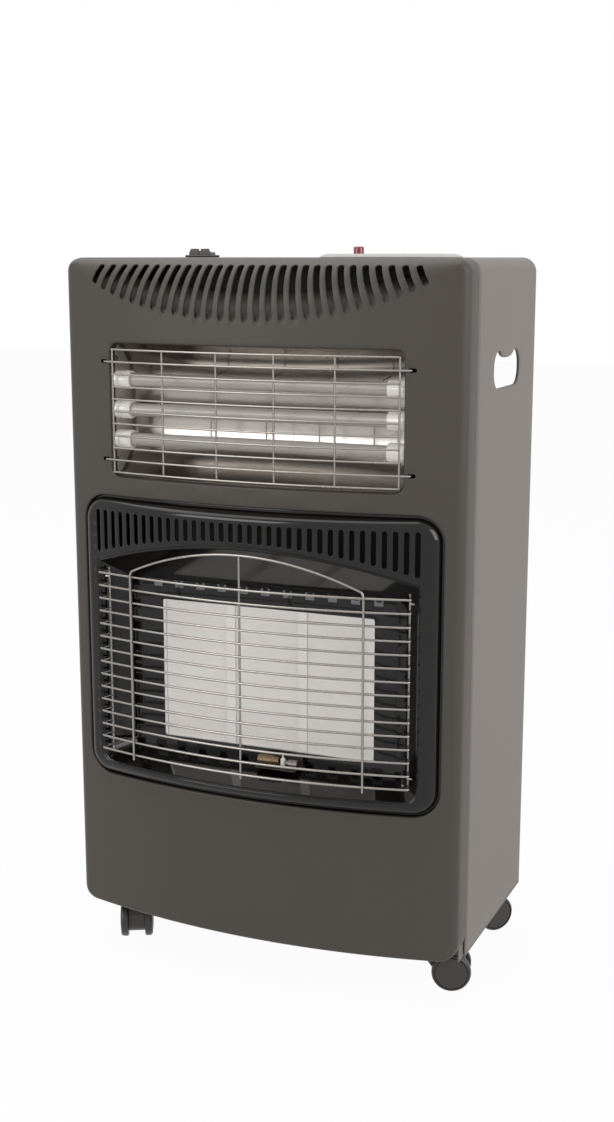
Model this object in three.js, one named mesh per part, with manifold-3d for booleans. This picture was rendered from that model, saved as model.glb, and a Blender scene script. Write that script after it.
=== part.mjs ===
// Portable cabinet heater: a ceramic gas burner below, three quartz tubes above, on four casters.
// Millimetres. X runs across the cabinet, Y to its back and Z up. While the pieces are made, Y = 0 is
// at the front corners and Z = 0 is the floor; the finished group is centred over its own footprint.
import * as THREE from 'three';
import { mergeVertices } from 'three/addons/utils/BufferGeometryUtils.js';
import Module from 'manifold-3d';

const wasm = await Module();
wasm.setup();

// ---------------------------------------------------------------- driving dimensions
const fit = 0.3;                // gap kept between touching pieces
const sheet = 1;                // folded steel sheet
const stationPitch = 32;        // facets of the bowed faces

// cabinet
const cabinetWidth = 420;
const cabinetTop = 726.4;
const cabinetBackY = 229.1;
const sideBottom = 45.2;
const topBend = 15;             // outer bend radius of the wrap and of the panel's upper corners
const rearFlange = 16;
const tongueDepth = 12;         // the wrap's front edge, set in behind the panel
const tongueGap = 0.8;

// front panel
const panelBottom = 50;
const seamY = 24.8;             // where the panel meets the wrap
const cornerSet = 2;            // how far the face stands out at the corners
const bowDepth = 29;            // how much more it stands out at the middle
const panelEdge = 8;            // rounding of the upright edges
const panelLowerCorner = 18;
const panelLowerEdge = 4;
const shoulderDrop = 50;        // the rolled shoulder's height at the middle
const shoulderEndDrop = 22;     // and at its ends
const shoulderEndX = 165;
const shoulderEndGap = 6;       // its least height, out at the corners
const shoulderBackY = 8;        // where the shoulder meets the flat top

// shoulder louvres
const louvreCount = 29;
const louvrePitch = 10.8;
const louvreSpread = 11;        // extra offset of the outermost louvre
const louvreWidth = 4.8;
const louvreTopDrop = 7;
const louvreBelowShoulder = 9.5;
const louvreFan = 0.0033;       // how the louvres spread per millimetre going down

// window of the electric unit
const windowWidth = 308;
const windowBelowTop = 214.1;   // from the cabinet's top to the window's lower edge
const windowHeight = 131.9;
const windowCorner = 9;
const windowLip = 8;

// enamel surround
const recessWidth = 383.4;
const recessBelowWindow = 20.2;
const recessHeight = 294;
const recessCorner = 26;
const recessLip = 4;
const recessGap = 2.4;
const enamelRim = 12;
const enamelProud = 12;
const enamelRadius = 578;
const enamelFlange = 7;
const slotCount = 35;
const slotPitch = 10;
const slotWidth = 4.4;
const slotBelowRecess = 13.6;   // from the recess's upper edge to the slots
const slotMiddleLength = 19.2;
const slotLift = 5;             // from the opening's arch to the slots at the middle
const slotArchFlattening = 0.86;

// burner opening and firebox
const openingWidth = 344;
const openingAboveRecess = 15.9; // from the recess's lower edge to the opening
const openingRise = 29.3;
const openingCorner = 14;
const fireboxWidth = 300;
const fireboxFloorRise = 8;     // how much the funnel narrows below
const fireboxRoofDrop = 20;     // and above, up to where the arch starts
const fireboxBackY = 14;
const linerLap = 1;             // the liner's mouth is this much larger than the opening

// burner
const burnerSideMargin = 3.1;   // from the outer plaques' seen edges to the burner window's ends
const burnerWindowHeight = 145;
const burnerAboveOpening = 97;  // from the opening's lower edge to the plaques' middle
const plaqueCount = 3;
const plaquePitch = 78.7;
const plaqueSeen = 68.4;        // plaque width left open by the frame
const plaqueLap = 2.2;          // plaque edge behind the frame
const plaqueThick = 13;
const frameLap = 5;
const plenumDepth = 40;
const mixerAxisY = 38;
const mixerRadius = 9;
const mixerWall = 1;
const mixerLength = 84;
const mixerFlange = 3;
const mixerFlangeThick = 2;
const mixerNeck = 24;           // from the flange to where the tube narrows
const mixerTaper = 20;
const mixerThroat = 2;          // how much narrower the throat is
const mixerFlare = 14;
const manifoldRadius = 5;
const injectorLength = 9;
const injectorGap = 2.5;

// pilot unit
const pilotX = 19;
const pilotWidth = 44;
const pilotRise = 3;            // bracket above the firebox floor

// lower guard
const guardWire = 1.35;
const guardCount = 15;
const guardRise = 16.5;         // lowest wire above the opening's lower edge
const guardPitch = 13.2;
const guardHalf = 167;
const guardStand = 5;
const guardRadius = 634;
const guardReturn = 13;
const archStand = 1.5;          // the arch wire lies this far in front of the others
const postSet = 1.8;            // and the centre wire this far behind
const archHalf = 124;
const archDrop = 4.5;           // arch wire's shoulders below the opening's
const archRise = 28.5;

// electric unit
const tubeCount = 3;
const tubePitch = 29.5;
const tubeY = -3;
const tubeRadius = 6.4;
const tubeWall = 1.1;
const coreRadius = 4.6;
const capRadius = 9.2;
const capLength = 18.6;
const capBore = 13;
const spigotRadius = 3.5;       // the cap's pin through the end plate
const spigotReach = 1.5;
const endPlateFlange = 14;
const endPlateSet = 1;          // end plate behind the window's lip
const reflectorBackY = 30;
const reflectorMargin = 3.5;    // how far the trough reaches past the window, above and below
const upperWire = 1.15;
const upperCount = 11;
const upperRise = 4.7;          // lowest wire above the window's lower edge
const upperPitch = 12.1;
const upperHalf = 150;
const upperPostPitch = 60;
const upperStand = 2;
const hookX = 161;
const hookHoleHeight = 3.8;
const hookHoleLength = 8;

// bulkhead and base
const bulkheadY = 66;
const bulkheadFlange = 12;
const baseThick = 1.2;
const baseRise = 0.8;           // base underside above the wrap's lower edge
const baseFlange = 18;

// hand holes
const handY = 127;
const handBelowTop = 106.4;
const handLength = 92;
const handHeight = 38;
const handTab = 7;              // how far the rounded tab at the hole's top reaches down

// control plate, knob and igniter
const plateX = 96;
const plateY = 105;
const plateLength = 136;
const plateDepth = 74;
const plateCorner = 22;
const plateThick = 3.3;
const plateBevel = 2;
const wellX = 122;
const wellRadius = 23;
const wellDepth = 20.5;
const wellWall = 1.2;
const wellLip = 1;              // plate left over the well's edge
const knobRadius = 19.5;
const knobHeight = 12;
const knobPush = 3;
const stemRadius = 3;
const collarRadius = 8;
const collarThick = 1.2;
const valveWidth = 36;
const valveDepth = 30;
const valveHeight = 40;
const hoseTailLength = 42;
const hoseTailRadius = 5;
const pipeRadius = 4;
const pipeX = 130;
const pipeStand = 15;
const buttonX = 62;
const buttonRadius = 5.2;
const buttonStand = 7;
const buttonPush = 5;
const piezoRadius = 8.5;
const piezoLength = 46;

// rocker switch
const switchX = -107.5;
const switchY = 98;
const switchLength = 40;
const switchDepth = 28;
const switchRim = 2.4;
const rockerWidth = 14.6;
const rockerPitch = 15.6;
const rockerLength = 20;
const rockerEnd = 6;
const rockerMiddle = 3.2;
const rockerTilt = 14;

// casters
const wheelRadius = 20;
const wheelWidth = 9;
const wheelSpacing = 27;
const casterTrail = 18;
const casterInsetX = 38.5;
const casterFrontY = 46;
const casterRearY = 190;
const hoodWidth = 17;
const hoodTop = 44.4;
const axleRadius = 2.6;
const casterStem = 5;
const casterBoss = 9;
const hoodWheelGap = 5.5;       // the web's edge inside the wheels' rims
const hoodRear = 11;            // the web behind the pivot
const hoodRearDrop = 9;
const hoodFrontRise = 8;
const hoodFrontReach = 6;       // its top in front of the axle
const wheelRound = 2.5;
const wheelFaceInset = 4;
const casterTurns = { fl: -63, fr: 17, rl: 150, rr: 45 };

// fittings inside
const glandX = -150;
const glandZ = 110;
const glandRadius = 8;
const terminalX = -110;
const terminalZ = 560;
const tipSwitchX = -120;
const tipSwitchY = 190;

// ---------------------------------------------------------------- derived values
const halfWidth = cabinetWidth / 2;
const innerHalf = halfWidth - sheet - fit;
const windowBottom = cabinetTop - windowBelowTop;
const windowTop = windowBottom + windowHeight;
const recessTop = windowBottom - recessBelowWindow;
const recessBottom = recessTop - recessHeight;
const enamelHalf = recessWidth / 2 - recessGap;
const enamelBottom = recessBottom + recessGap;
const enamelTop = recessTop - recessGap;
const slotTop = recessTop - slotBelowRecess;
const openingBottom = recessBottom + openingAboveRecess;
const openingTop = slotTop - slotMiddleLength - slotLift;
const openingSide = openingTop - openingRise;
const fireboxBottom = openingBottom + fireboxFloorRise;
const fireboxTop = openingSide - fireboxRoofDrop;
const burnerCentreZ = openingBottom + burnerAboveOpening;
const pilotZ = fireboxBottom + pilotRise;
const guardBottom = openingBottom + guardRise;
const archShoulder = openingSide - archDrop;
const upperBottom = windowBottom + upperRise;
const handZ = cabinetTop - handBelowTop;
const baseZ = sideBottom + baseRise;
const baseFloor = baseZ + baseThick;
const burnerWindowWidth = (plaqueCount - 1) * plaquePitch + plaqueSeen + 2 * burnerSideMargin;
const burnerBottom = burnerCentreZ - burnerWindowHeight / 2;
const burnerTop = burnerCentreZ + burnerWindowHeight / 2;
const frameY = fireboxBackY + sheet + fit;
const plenumY = frameY + sheet + fit;
const plenumHalf = burnerWindowWidth / 2 + 1.5;
const plenumBottom = burnerBottom - 2;
const plenumTop = burnerTop + 2;
const mixerTop = plenumBottom - fit;
const manifoldZ = mixerTop - mixerLength - injectorGap - injectorLength;
const tubeMiddleZ = windowBottom + windowHeight / 2;
const endPlateX = windowWidth / 2 + sheet + fit;
const capX = windowWidth / 2 - fit;
const tubeHalf = capX - capLength + capBore - fit;
const plateZ = cabinetTop + fit;
const plateTop = plateZ + plateThick;
const wellTop = plateTop - wellLip - fit;
const wellFloor = plateTop - fit - wellDepth - wellWall;
const collarZ = wellFloor + wellWall + knobPush + fit;
const knobZ = collarZ + collarThick + fit;
const valveTop = wellFloor - fit;
const switchZ = cabinetTop + fit;
const rockerPivotZ = switchZ + 1.6;
const casterX = halfWidth - casterInsetX;

// ---------------------------------------------------------------- surfaces
function bowY(x) {
  return -cornerSet - bowDepth * (1 - (x / halfWidth) ** 2);
}

function enamelY(x) {
  return bowY(0) - enamelProud + x * x / (2 * enamelRadius);
}

function guardY(x) {
  return enamelY(0) - guardStand + x * x / (2 * guardRadius);
}

function upperGuardY(x) {
  return bowY(x) - upperStand;
}

// How far an outline's edge comes in at x, inside a rounded corner.
function cornerDrop(x, half, radius) {
  const past = Math.max(0, Math.abs(x) - (half - radius));
  return radius - Math.sqrt(Math.max(0, radius * radius - past * past));
}

// ---------------------------------------------------------------- solids
function solid(geometry) {
  const bare = new THREE.BufferGeometry();
  bare.setAttribute('position', geometry.getAttribute('position'));
  if (geometry.index) bare.setIndex(geometry.index);
  const merged = mergeVertices(bare, 1e-4);
  return new wasm.Manifold(new wasm.Mesh({
    numProp: 3,
    vertProperties: new Float32Array(merged.getAttribute('position').array),
    triVerts: new Uint32Array(merged.index.array),
  }));
}

function toGeometry(manifold) {
  const mesh = manifold.getMesh();
  const geometry = new THREE.BufferGeometry();
  geometry.setAttribute('position', new THREE.BufferAttribute(new Float32Array(mesh.vertProperties), 3));
  geometry.setIndex(new THREE.BufferAttribute(new Uint32Array(mesh.triVerts), 1));
  geometry.computeVertexNormals();
  return geometry;
}

function joined(pieces) {
  return pieces.reduce((whole, piece) => whole.add(piece));
}

function box(x0, x1, y0, y1, z0, z1) {
  const geometry = new THREE.BoxGeometry(x1 - x0, y1 - y0, z1 - z0);
  geometry.translate((x0 + x1) / 2, (y0 + y1) / 2, (z0 + z1) / 2);
  return solid(geometry);
}

function extruded(shape, depth, curveSegments = 3, bevel = null) {
  const options = { depth, curveSegments, bevelEnabled: false, ...bevel };
  return new THREE.ExtrudeGeometry(shape, options);
}

// Outline in X and Z, pushed along Y from y0 to y1.
function prismY(shape, y0, y1, curveSegments) {
  const geometry = extruded(shape, y1 - y0, curveSegments);
  geometry.rotateX(Math.PI / 2);
  geometry.translate(0, y1, 0);
  return solid(geometry);
}

// Outline in X and Y, pushed along Z.
function prismZ(shape, z0, z1, curveSegments) {
  const geometry = extruded(shape, z1 - z0, curveSegments);
  geometry.translate(0, 0, z0);
  return solid(geometry);
}

// Outline in Y and Z, pushed along X.
function prismX(shape, x0, x1, curveSegments) {
  const geometry = extruded(shape, x1 - x0, curveSegments);
  const turn = new THREE.Matrix4().makeBasis(
    new THREE.Vector3(0, 1, 0), new THREE.Vector3(0, 0, 1), new THREE.Vector3(1, 0, 0));
  geometry.applyMatrix4(turn);
  geometry.translate(x0, 0, 0);
  return solid(geometry);
}

function roundedRect(x0, x1, z0, z1, lower, upper = lower) {
  const shape = new THREE.Shape();
  shape.moveTo(x0 + lower, z0);
  shape.lineTo(x1 - lower, z0);
  shape.absarc(x1 - lower, z0 + lower, lower, -Math.PI / 2, 0);
  shape.lineTo(x1, z1 - upper);
  shape.absarc(x1 - upper, z1 - upper, upper, 0, Math.PI / 2);
  shape.lineTo(x0 + upper, z1);
  shape.absarc(x0 + upper, z1 - upper, upper, Math.PI / 2, Math.PI);
  shape.lineTo(x0, z0 + lower);
  shape.absarc(x0 + lower, z0 + lower, lower, Math.PI, 1.5 * Math.PI);
  return shape;
}

function circle(x, y, radius) {
  const shape = new THREE.Shape();
  shape.absarc(x, y, radius, 0, 2 * Math.PI);
  return shape;
}

function polygon(points) {
  return new THREE.Shape(points.map(([x, y]) => new THREE.Vector2(x, y)));
}

// Turned piece on the Z axis; the profile lists [radius, height] and ends where it starts or on the axis.
function turned(profile, segments = 20) {
  return solid(new THREE.LatheGeometry(profile.map(([r, z]) => new THREE.Vector2(r, z)), segments)
    .rotateX(Math.PI / 2));
}

// The axis of a turned piece laid along X, its height running to +X.
function alongX(manifold) {
  return manifold.rotate([0, 90, 0]);
}

// The axis of a turned piece laid along Y, its height running to +Y.
function alongY(manifold) {
  return manifold.rotate([-90, 0, 0]);
}

function rod(radius, length, segments = 20) {
  return turned([[0, 0], [radius, 0], [radius, length], [0, length]], segments);
}

function ring(inner, outer, height, segments = 20) {
  return turned([[inner, 0], [outer, 0], [outer, height], [inner, height], [inner, 0]], segments);
}

// Round bar along a curve.
function bar(curve, radius, steps, sides = 4) {
  const section = new THREE.Shape(Array.from({ length: sides }, (_, i) => {
    const angle = 2 * Math.PI * i / sides;
    return new THREE.Vector2(radius * Math.cos(angle), radius * Math.sin(angle));
  }));
  return solid(new THREE.ExtrudeGeometry(section, { steps, extrudePath: curve }));
}

function straightBar(from, to, radius, sides) {
  return bar(new THREE.LineCurve3(new THREE.Vector3(...from), new THREE.Vector3(...to)), radius, 1, sides);
}

// Places across the width at which bowed faces have their folds, the same for all of them.
function stationsTo(half) {
  const count = Math.ceil(half / stationPitch) - 1;
  const inside = Array.from({ length: 2 * count + 1 }, (_, i) => (i - count) * stationPitch);
  return [-half, ...inside, half];
}

// Bar between (-half, z) and (half, z) that follows a parabola y(x), and rises by `rise` at the middle.
function bowedBar(half, z, y, radius, steps, rise = 0) {
  const middle = new THREE.Vector3(0, 2 * y(0) - y(half), z + 2 * rise);
  return bar(new THREE.QuadraticBezierCurve3(
    new THREE.Vector3(-half, y(half), z), middle, new THREE.Vector3(half, y(half), z)), radius, steps);
}

// Closed solid between a front grid and a back grid of points with the same rows and columns.
function gridSolid(front, back) {
  const rows = front.length;
  const columns = front[0].length;
  const at = (side, i, j) => (side * rows + i) * columns + j;
  const faces = [];
  const quad = (a, b, c, d) => faces.push(a, c, b, a, d, c);
  for (let i = 0; i < rows - 1; i += 1) {
    for (let j = 0; j < columns - 1; j += 1) {
      quad(at(0, i, j), at(0, i, j + 1), at(0, i + 1, j + 1), at(0, i + 1, j));
      quad(at(1, i, j), at(1, i + 1, j), at(1, i + 1, j + 1), at(1, i, j + 1));
    }
    quad(at(0, i, 0), at(0, i + 1, 0), at(1, i + 1, 0), at(1, i, 0));
    quad(at(0, i + 1, columns - 1), at(0, i, columns - 1), at(1, i, columns - 1), at(1, i + 1, columns - 1));
  }
  for (let j = 0; j < columns - 1; j += 1) {
    quad(at(0, 0, j + 1), at(0, 0, j), at(1, 0, j), at(1, 0, j + 1));
    quad(at(0, rows - 1, j), at(0, rows - 1, j + 1), at(1, rows - 1, j + 1), at(1, rows - 1, j));
  }
  const geometry = new THREE.BufferGeometry();
  geometry.setAttribute('position', new THREE.Float32BufferAttribute([...front, ...back].flat(2), 3));
  geometry.setIndex(faces);
  return solid(geometry);
}

// Solid band through rings of points with the same count; the last ring joins the first.
function ringSolid(rings) {
  const count = rings[0].length;
  const faces = [];
  rings.forEach((_, r) => {
    const next = (r + 1) % rings.length;
    for (let i = 0; i < count; i += 1) {
      const j = (i + 1) % count;
      faces.push(r * count + i, r * count + j, next * count + j);
      faces.push(r * count + i, next * count + j, next * count + i);
    }
  });
  const geometry = new THREE.BufferGeometry();
  geometry.setAttribute('position', new THREE.Float32BufferAttribute(rings.flat(2), 3));
  geometry.setIndex(faces);
  return solid(geometry);
}

// Stations across a pan: close together over the rounded edge and the outline's corners.
function panStations(half, edge, corner) {
  const side = [90, 60, 30, 0].map((degrees) => {
    const angle = THREE.MathUtils.degToRad(degrees);
    return { x: half - edge + edge * Math.sin(angle), set: edge * (1 - Math.cos(angle)) };
  });
  const inside = half - Math.max(edge, corner) - 1;
  for (const share of [0.4, 0.8]) {
    const x = (half - edge) * (1 - share) + inside * share;
    if (corner > edge) side.push({ x, set: 0 });
  }
  const left = side.map(({ x, set }) => ({ x: -x, set }));
  const middle = stationsTo(inside).map((x) => ({ x, set: 0 }));
  return [...left, ...middle, ...side.reverse()];
}

// Pressed pan, filled: its face follows `face`, its edges are rounded, and it runs back to y = backY.
// `crown(x, top, y)` says where the upper rounding starts and how far back it ends.
function panSolid({ half, bottom, top, lowerCorner, upperCorner, edge, lowerEdge, face, crown, backY }) {
  const stations = panStations(half, edge, Math.max(lowerCorner, upperCorner));
  const rowsOf = ({ x, set }) => {
    const low = bottom + cornerDrop(x, half, lowerCorner);
    const high = top - cornerDrop(x, half, upperCorner);
    const y = face(x) + set;
    const { from, endY } = crown(x, high, y);
    const points = [];
    for (const degrees of [90, 45, 0]) {
      const angle = THREE.MathUtils.degToRad(degrees);
      points.push([x, y + lowerEdge * (1 - Math.cos(angle)), low + lowerEdge * (1 - Math.sin(angle))]);
    }
    for (const degrees of [0, 25, 45, 65, 90]) {
      const angle = THREE.MathUtils.degToRad(degrees);
      points.push([x, y + (endY - y) * (1 - Math.cos(angle)), from + (high - from) * Math.sin(angle)]);
    }
    return points;
  };
  const front = stations.map(rowsOf);
  const back = front.map((points) => points.map(([x, , z]) => [x, backY, z]));
  return gridSolid(front, back);
}

// Block between two bowed faces, over the full height z0 to z1.
function bowedBlock(half, z0, z1, frontY, backY) {
  const xs = stationsTo(half);
  const outline = [...xs.map((x) => [x, frontY(x)]), ...xs.reverse().map((x) => [x, backY(x)])];
  return prismZ(polygon(outline), z0, z1);
}

// ---------------------------------------------------------------- front panel
function shoulderStart(x) {
  return cabinetTop - shoulderDrop + (shoulderDrop - shoulderEndDrop) * (x / shoulderEndX) ** 2;
}

function panelBody(inset, backY) {
  return panSolid({
    half: halfWidth - inset,
    bottom: panelBottom + inset,
    top: cabinetTop - inset,
    lowerCorner: panelLowerCorner - inset,
    upperCorner: topBend - inset,
    edge: panelEdge - inset,
    lowerEdge: panelLowerEdge - inset,
    face: (x) => bowY(x) + inset,
    crown: (x, high) => ({ from: Math.min(shoulderStart(x), high - shoulderEndGap), endY: shoulderBackY }),
    backY,
  });
}

// A louvre leans outwards on its way down, so the row fans open.
function louvreShape(index) {
  const share = index / ((louvreCount - 1) / 2);
  const topX = index * louvrePitch + louvreSpread * share ** 3;
  const topZ = cabinetTop - louvreTopDrop;
  const reach = (z) => topX * (1 + louvreFan * (topZ - z));
  const lowZ = shoulderStart(topX) - louvreBelowShoulder;
  const low = new THREE.Vector2(reach(lowZ), lowZ);
  const along = new THREE.Vector2(topX, topZ).sub(low).normalize();
  const radius = louvreWidth / 2;
  const lean = Math.atan2(along.y, along.x);
  const shape = new THREE.Shape();
  const upper = new THREE.Vector2(topX, topZ).addScaledVector(along, -radius);
  const lower = low.clone().addScaledVector(along, radius);
  shape.absarc(upper.x, upper.y, radius, lean - Math.PI / 2, lean + Math.PI / 2);
  shape.absarc(lower.x, lower.y, radius, lean + Math.PI / 2, lean + 1.5 * Math.PI);
  return shape;
}

// Sheet turned back into the panel round an opening.
function lip(x0, x1, z0, z1, corner, depth) {
  const outline = roundedRect(x0 - sheet, x1 + sheet, z0 - sheet, z1 + sheet, corner + sheet);
  const band = bowedBlock(x1 + 2 * sheet, z0 - 2 * sheet, z1 + 2 * sheet,
    (x) => bowY(x) + sheet / 2, (x) => bowY(x) + depth);
  return prismY(outline, bowY(0), bowY(x1) + 2 * depth).intersect(band);
}

function frontPanel() {
  const front = bowY(0) - 5;
  const inside = shoulderBackY + 2;
  let panel = panelBody(0, seamY).subtract(panelBody(sheet, seamY + 5));
  const openings = [
    [windowWidth / 2, windowBottom, windowTop, windowCorner, windowLip],
    [recessWidth / 2, recessBottom, recessTop, recessCorner, recessLip],
  ];
  for (const [half, z0, z1, corner, depth] of openings) {
    panel = panel.add(lip(-half, half, z0, z1, corner, depth));
    panel = panel.subtract(prismY(roundedRect(-half, half, z0, z1, corner), front, inside));
  }
  for (let i = 0; i < louvreCount; i += 1) {
    panel = panel.subtract(prismY(louvreShape(i - (louvreCount - 1) / 2), front, inside, 1));
  }
  for (const side of [-1, 1]) {
    for (const row of [1, upperCount - 2]) {
      const x = side * hookX;
      const z = upperBottom + row * upperPitch;
      const hole = roundedRect(x - hookHoleLength / 2, x + hookHoleLength / 2,
        z - hookHoleHeight / 2, z + hookHoleHeight / 2, hookHoleHeight / 2 - 0.1);
      panel = panel.subtract(prismY(hole, front, inside, 1));
    }
  }
  return panel;
}

// ---------------------------------------------------------------- cabinet wrap
// The wrap's outline seen from the front, reaching below its lower edge.
function wrapSection(inset) {
  const half = halfWidth - inset;
  return roundedRect(-half, half, sideBottom - topBend, cabinetTop - inset, 0.1, topBend - inset);
}

function uSheet(inset, y0, y1) {
  const outer = prismY(wrapSection(inset), y0, y1);
  const inner = prismY(wrapSection(inset + sheet), y0 - 1, y1 + 1);
  const below = box(-cabinetWidth, cabinetWidth, y0 - 1, y1 + 1, -cabinetWidth, sideBottom);
  return outer.subtract(inner).subtract(below);
}

// A rounded tab of the sheet stands down from the top of the hole.
function handHole(side) {
  const radius = handHeight / 2 - 1;
  const z1 = handZ + handHeight / 2;
  const outline = roundedRect(handY - handLength / 2, handY + handLength / 2,
    handZ - handHeight / 2, z1, radius);
  const tab = [];
  for (let i = 0; i <= 24; i++) {
    const turn = Math.PI * i / 24;
    tab.push([handY - handLength / 4 * Math.cos(turn), z1 + 1 - (handTab + 1) * Math.sin(turn)]);
  }
  tab.push([handY + handLength / 4, z1 + 5], [handY - handLength / 4, z1 + 5]);
  const wall = halfWidth - sheet;
  const x0 = side > 0 ? wall - 2 : -halfWidth - 2;
  const x1 = side > 0 ? halfWidth + 2 : -wall + 2;
  return prismX(outline, x0, x1).subtract(prismX(polygon(tab), x0 - 1, x1 + 1));
}

function cabinetWrap() {
  const start = seamY + fit;
  let wrap = uSheet(0, start, cabinetBackY);
  // front tongue, set in behind the panel and joined to the wrap just past the seam
  const tongueBottom = panelBottom + panelLowerCorner + sheet;
  const tongue = uSheet(sheet + tongueGap, start - tongueDepth, start + tongueDepth)
    .add(uSheet(sheet / 2 + tongueGap / 2, start + 1, start + tongueDepth))
    .subtract(box(-cabinetWidth, cabinetWidth, start - tongueDepth - 1, start + tongueDepth + 1,
      -cabinetWidth, tongueBottom));
  wrap = wrap.add(tongue);
  // rear flanges folded in
  const plate = prismY(wrapSection(sheet / 2), cabinetBackY - sheet, cabinetBackY);
  const middle = box(-halfWidth + rearFlange, halfWidth - rearFlange, cabinetBackY - 5, cabinetBackY + 5,
    -cabinetWidth, cabinetTop - rearFlange);
  const below = box(-cabinetWidth, cabinetWidth, 0, 2 * cabinetBackY, -cabinetWidth, sideBottom);
  wrap = wrap.add(plate.subtract(middle).subtract(below));
  for (const side of [-1, 1]) {
    wrap = wrap.subtract(handHole(side));
  }
  const top = cabinetTop;
  const switchHole = box(switchX - switchLength / 2 + 1.5, switchX + switchLength / 2 - 1.5,
    switchY - switchDepth / 2 + 1.5, switchY + switchDepth / 2 - 1.5, top - 5, top + 5);
  const wellHole = rod(wellRadius + wellWall + fit, 10, 28).translate([wellX, plateY, top - 5]);
  const piezoHole = rod(piezoRadius + fit, 10).translate([buttonX, plateY, top - 5]);
  return wrap.subtract(switchHole).subtract(wellHole).subtract(piezoHole);
}

// ---------------------------------------------------------------- base plate and bulkhead
function basePlate() {
  const y0 = seamY + fit;
  const y1 = cabinetBackY - sheet - fit;
  const half = innerHalf;
  // the front edge is notched round the wrap's tongue
  const tongueEnd = y0 + tongueDepth + fit;
  const narrow = half - sheet - tongueGap;
  const tray = (inset, z0, z1) => box(-narrow + inset, narrow - inset, y0 + inset, y1 - inset, z0, z1)
    .add(box(-half + inset, half - inset, tongueEnd + inset, y1 - inset, z0, z1));
  let base = tray(0, baseZ, baseZ + baseFlange).subtract(tray(baseThick, baseFloor, baseZ + baseFlange + 1));
  for (const x of [-casterX, casterX]) {
    for (const y of [casterFrontY, casterRearY]) {
      base = base.subtract(rod(casterStem + fit, 10).translate([x, y, baseZ - 5]));
    }
  }
  return base;
}

function bulkhead() {
  const half = innerHalf;
  const z0 = baseFloor + fit;
  const back = bulkheadY + bulkheadFlange;
  // it fills the wrap up to its top and its round corners
  const shell = prismY(wrapSection(sheet + fit), bulkheadY, back)
    .subtract(box(-halfWidth, halfWidth, bulkheadY - 1, back + 1, -cabinetWidth, z0))
    .subtract(prismY(wrapSection(2 * sheet + fit), bulkheadY + sheet, back + 1)
      .subtract(box(-halfWidth, halfWidth, bulkheadY - 1, back + 2, -cabinetWidth, z0 + sheet)));
  // the lower corners clear the base plate's upturned flanges
  const notch = (side) => box(side > 0 ? half - baseThick - fit : -half - 1, side > 0 ? half + 1
    : -half + baseThick + fit, bulkheadY - 1, back + 1, z0 - 1, baseZ + baseFlange + fit);
  const trimmed = shell.subtract(notch(-1)).subtract(notch(1));
  const pipeHole = alongY(rod(pipeRadius + 1.5, 10)).translate([pipeX, bulkheadY - 5, manifoldZ]);
  const glandHole = alongY(rod(glandRadius + fit, 10)).translate([glandX, bulkheadY - 5, glandZ]);
  return trimmed.subtract(pipeHole).subtract(glandHole);
}

// ---------------------------------------------------------------- enamel surround
function enamelBody(inset) {
  const rim = enamelRim - inset;
  return panSolid({
    half: enamelHalf - inset,
    bottom: enamelBottom + inset,
    top: enamelTop - inset,
    lowerCorner: recessCorner - recessGap - inset,
    upperCorner: recessCorner - recessGap - inset,
    edge: rim,
    lowerEdge: rim,
    face: (x) => enamelY(x) + inset,
    crown: (x, high, y) => ({ from: high - rim, endY: y + rim }),
    backY: seamY,
  });
}

function openingShape(grow = 0) {
  const half = openingWidth / 2 + grow;
  const r = openingCorner + grow;
  const bottom = openingBottom - grow;
  const side = openingSide + grow;
  const shape = new THREE.Shape();
  shape.moveTo(-half + r, bottom);
  shape.lineTo(half - r, bottom);
  shape.absarc(half - r, bottom + r, r, -Math.PI / 2, 0);
  shape.lineTo(half, side);
  shape.quadraticCurveTo(0, side + 2 * openingRise, -half, side);
  shape.lineTo(-half, bottom + r);
  shape.absarc(-half + r, bottom + r, r, Math.PI, 1.5 * Math.PI);
  return shape;
}

function slotShape(index) {
  const x = index * slotPitch;
  const arch = openingRise * (x / (openingWidth / 2)) ** 2 * slotArchFlattening;
  const end = slotWidth / 2;
  const shape = new THREE.Shape();
  shape.absarc(x, slotTop - end, end, 0, Math.PI);
  shape.absarc(x, openingTop + slotLift - arch + end, end, Math.PI, 2 * Math.PI);
  return shape;
}

function enamelSurround() {
  const flangeY = (x) => bowY(x) + recessLip + fit;
  const flangeBack = (x) => flangeY(x) + sheet;
  const half = recessWidth / 2 + enamelFlange;
  const z0 = recessBottom - enamelFlange;
  const z1 = recessTop + enamelFlange;
  const corner = recessCorner + enamelFlange;
  const wall = enamelHalf - sheet;
  const behind = bowedBlock(half + 5, z0 - 5, z1 + 5, flangeBack, () => seamY + 20);
  const shell = enamelBody(0).subtract(enamelBody(sheet).add(
    prismY(roundedRect(-wall, wall, enamelBottom + sheet, enamelTop - sheet, recessCorner - recessGap - sheet),
      seamY - 5, seamY + 5))).subtract(behind);
  const frame = prismY(roundedRect(-half, half, z0, z1, corner), bowY(0), seamY + 10)
    .subtract(prismY(roundedRect(-wall, wall, enamelBottom + sheet, enamelTop - sheet,
      recessCorner - recessGap - sheet), bowY(0) - 5, seamY + 15))
    .intersect(bowedBlock(half + 5, z0 - 5, z1 + 5, flangeY, flangeBack));
  let surround = shell.add(frame);
  surround = surround.subtract(prismY(openingShape(), enamelY(0) - 5, seamY, 8));
  for (let i = 0; i < slotCount; i += 1) {
    surround = surround.subtract(prismY(slotShape(i - (slotCount - 1) / 2), enamelY(0) - 5, seamY, 1));
  }
  return surround;
}

// ---------------------------------------------------------------- firebox
// The liner stops behind the enamel; the second gap is for the facets of the enamel's bow.
function linerFrontY(x) {
  return enamelY(x) + sheet + 2 * fit;
}

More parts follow.
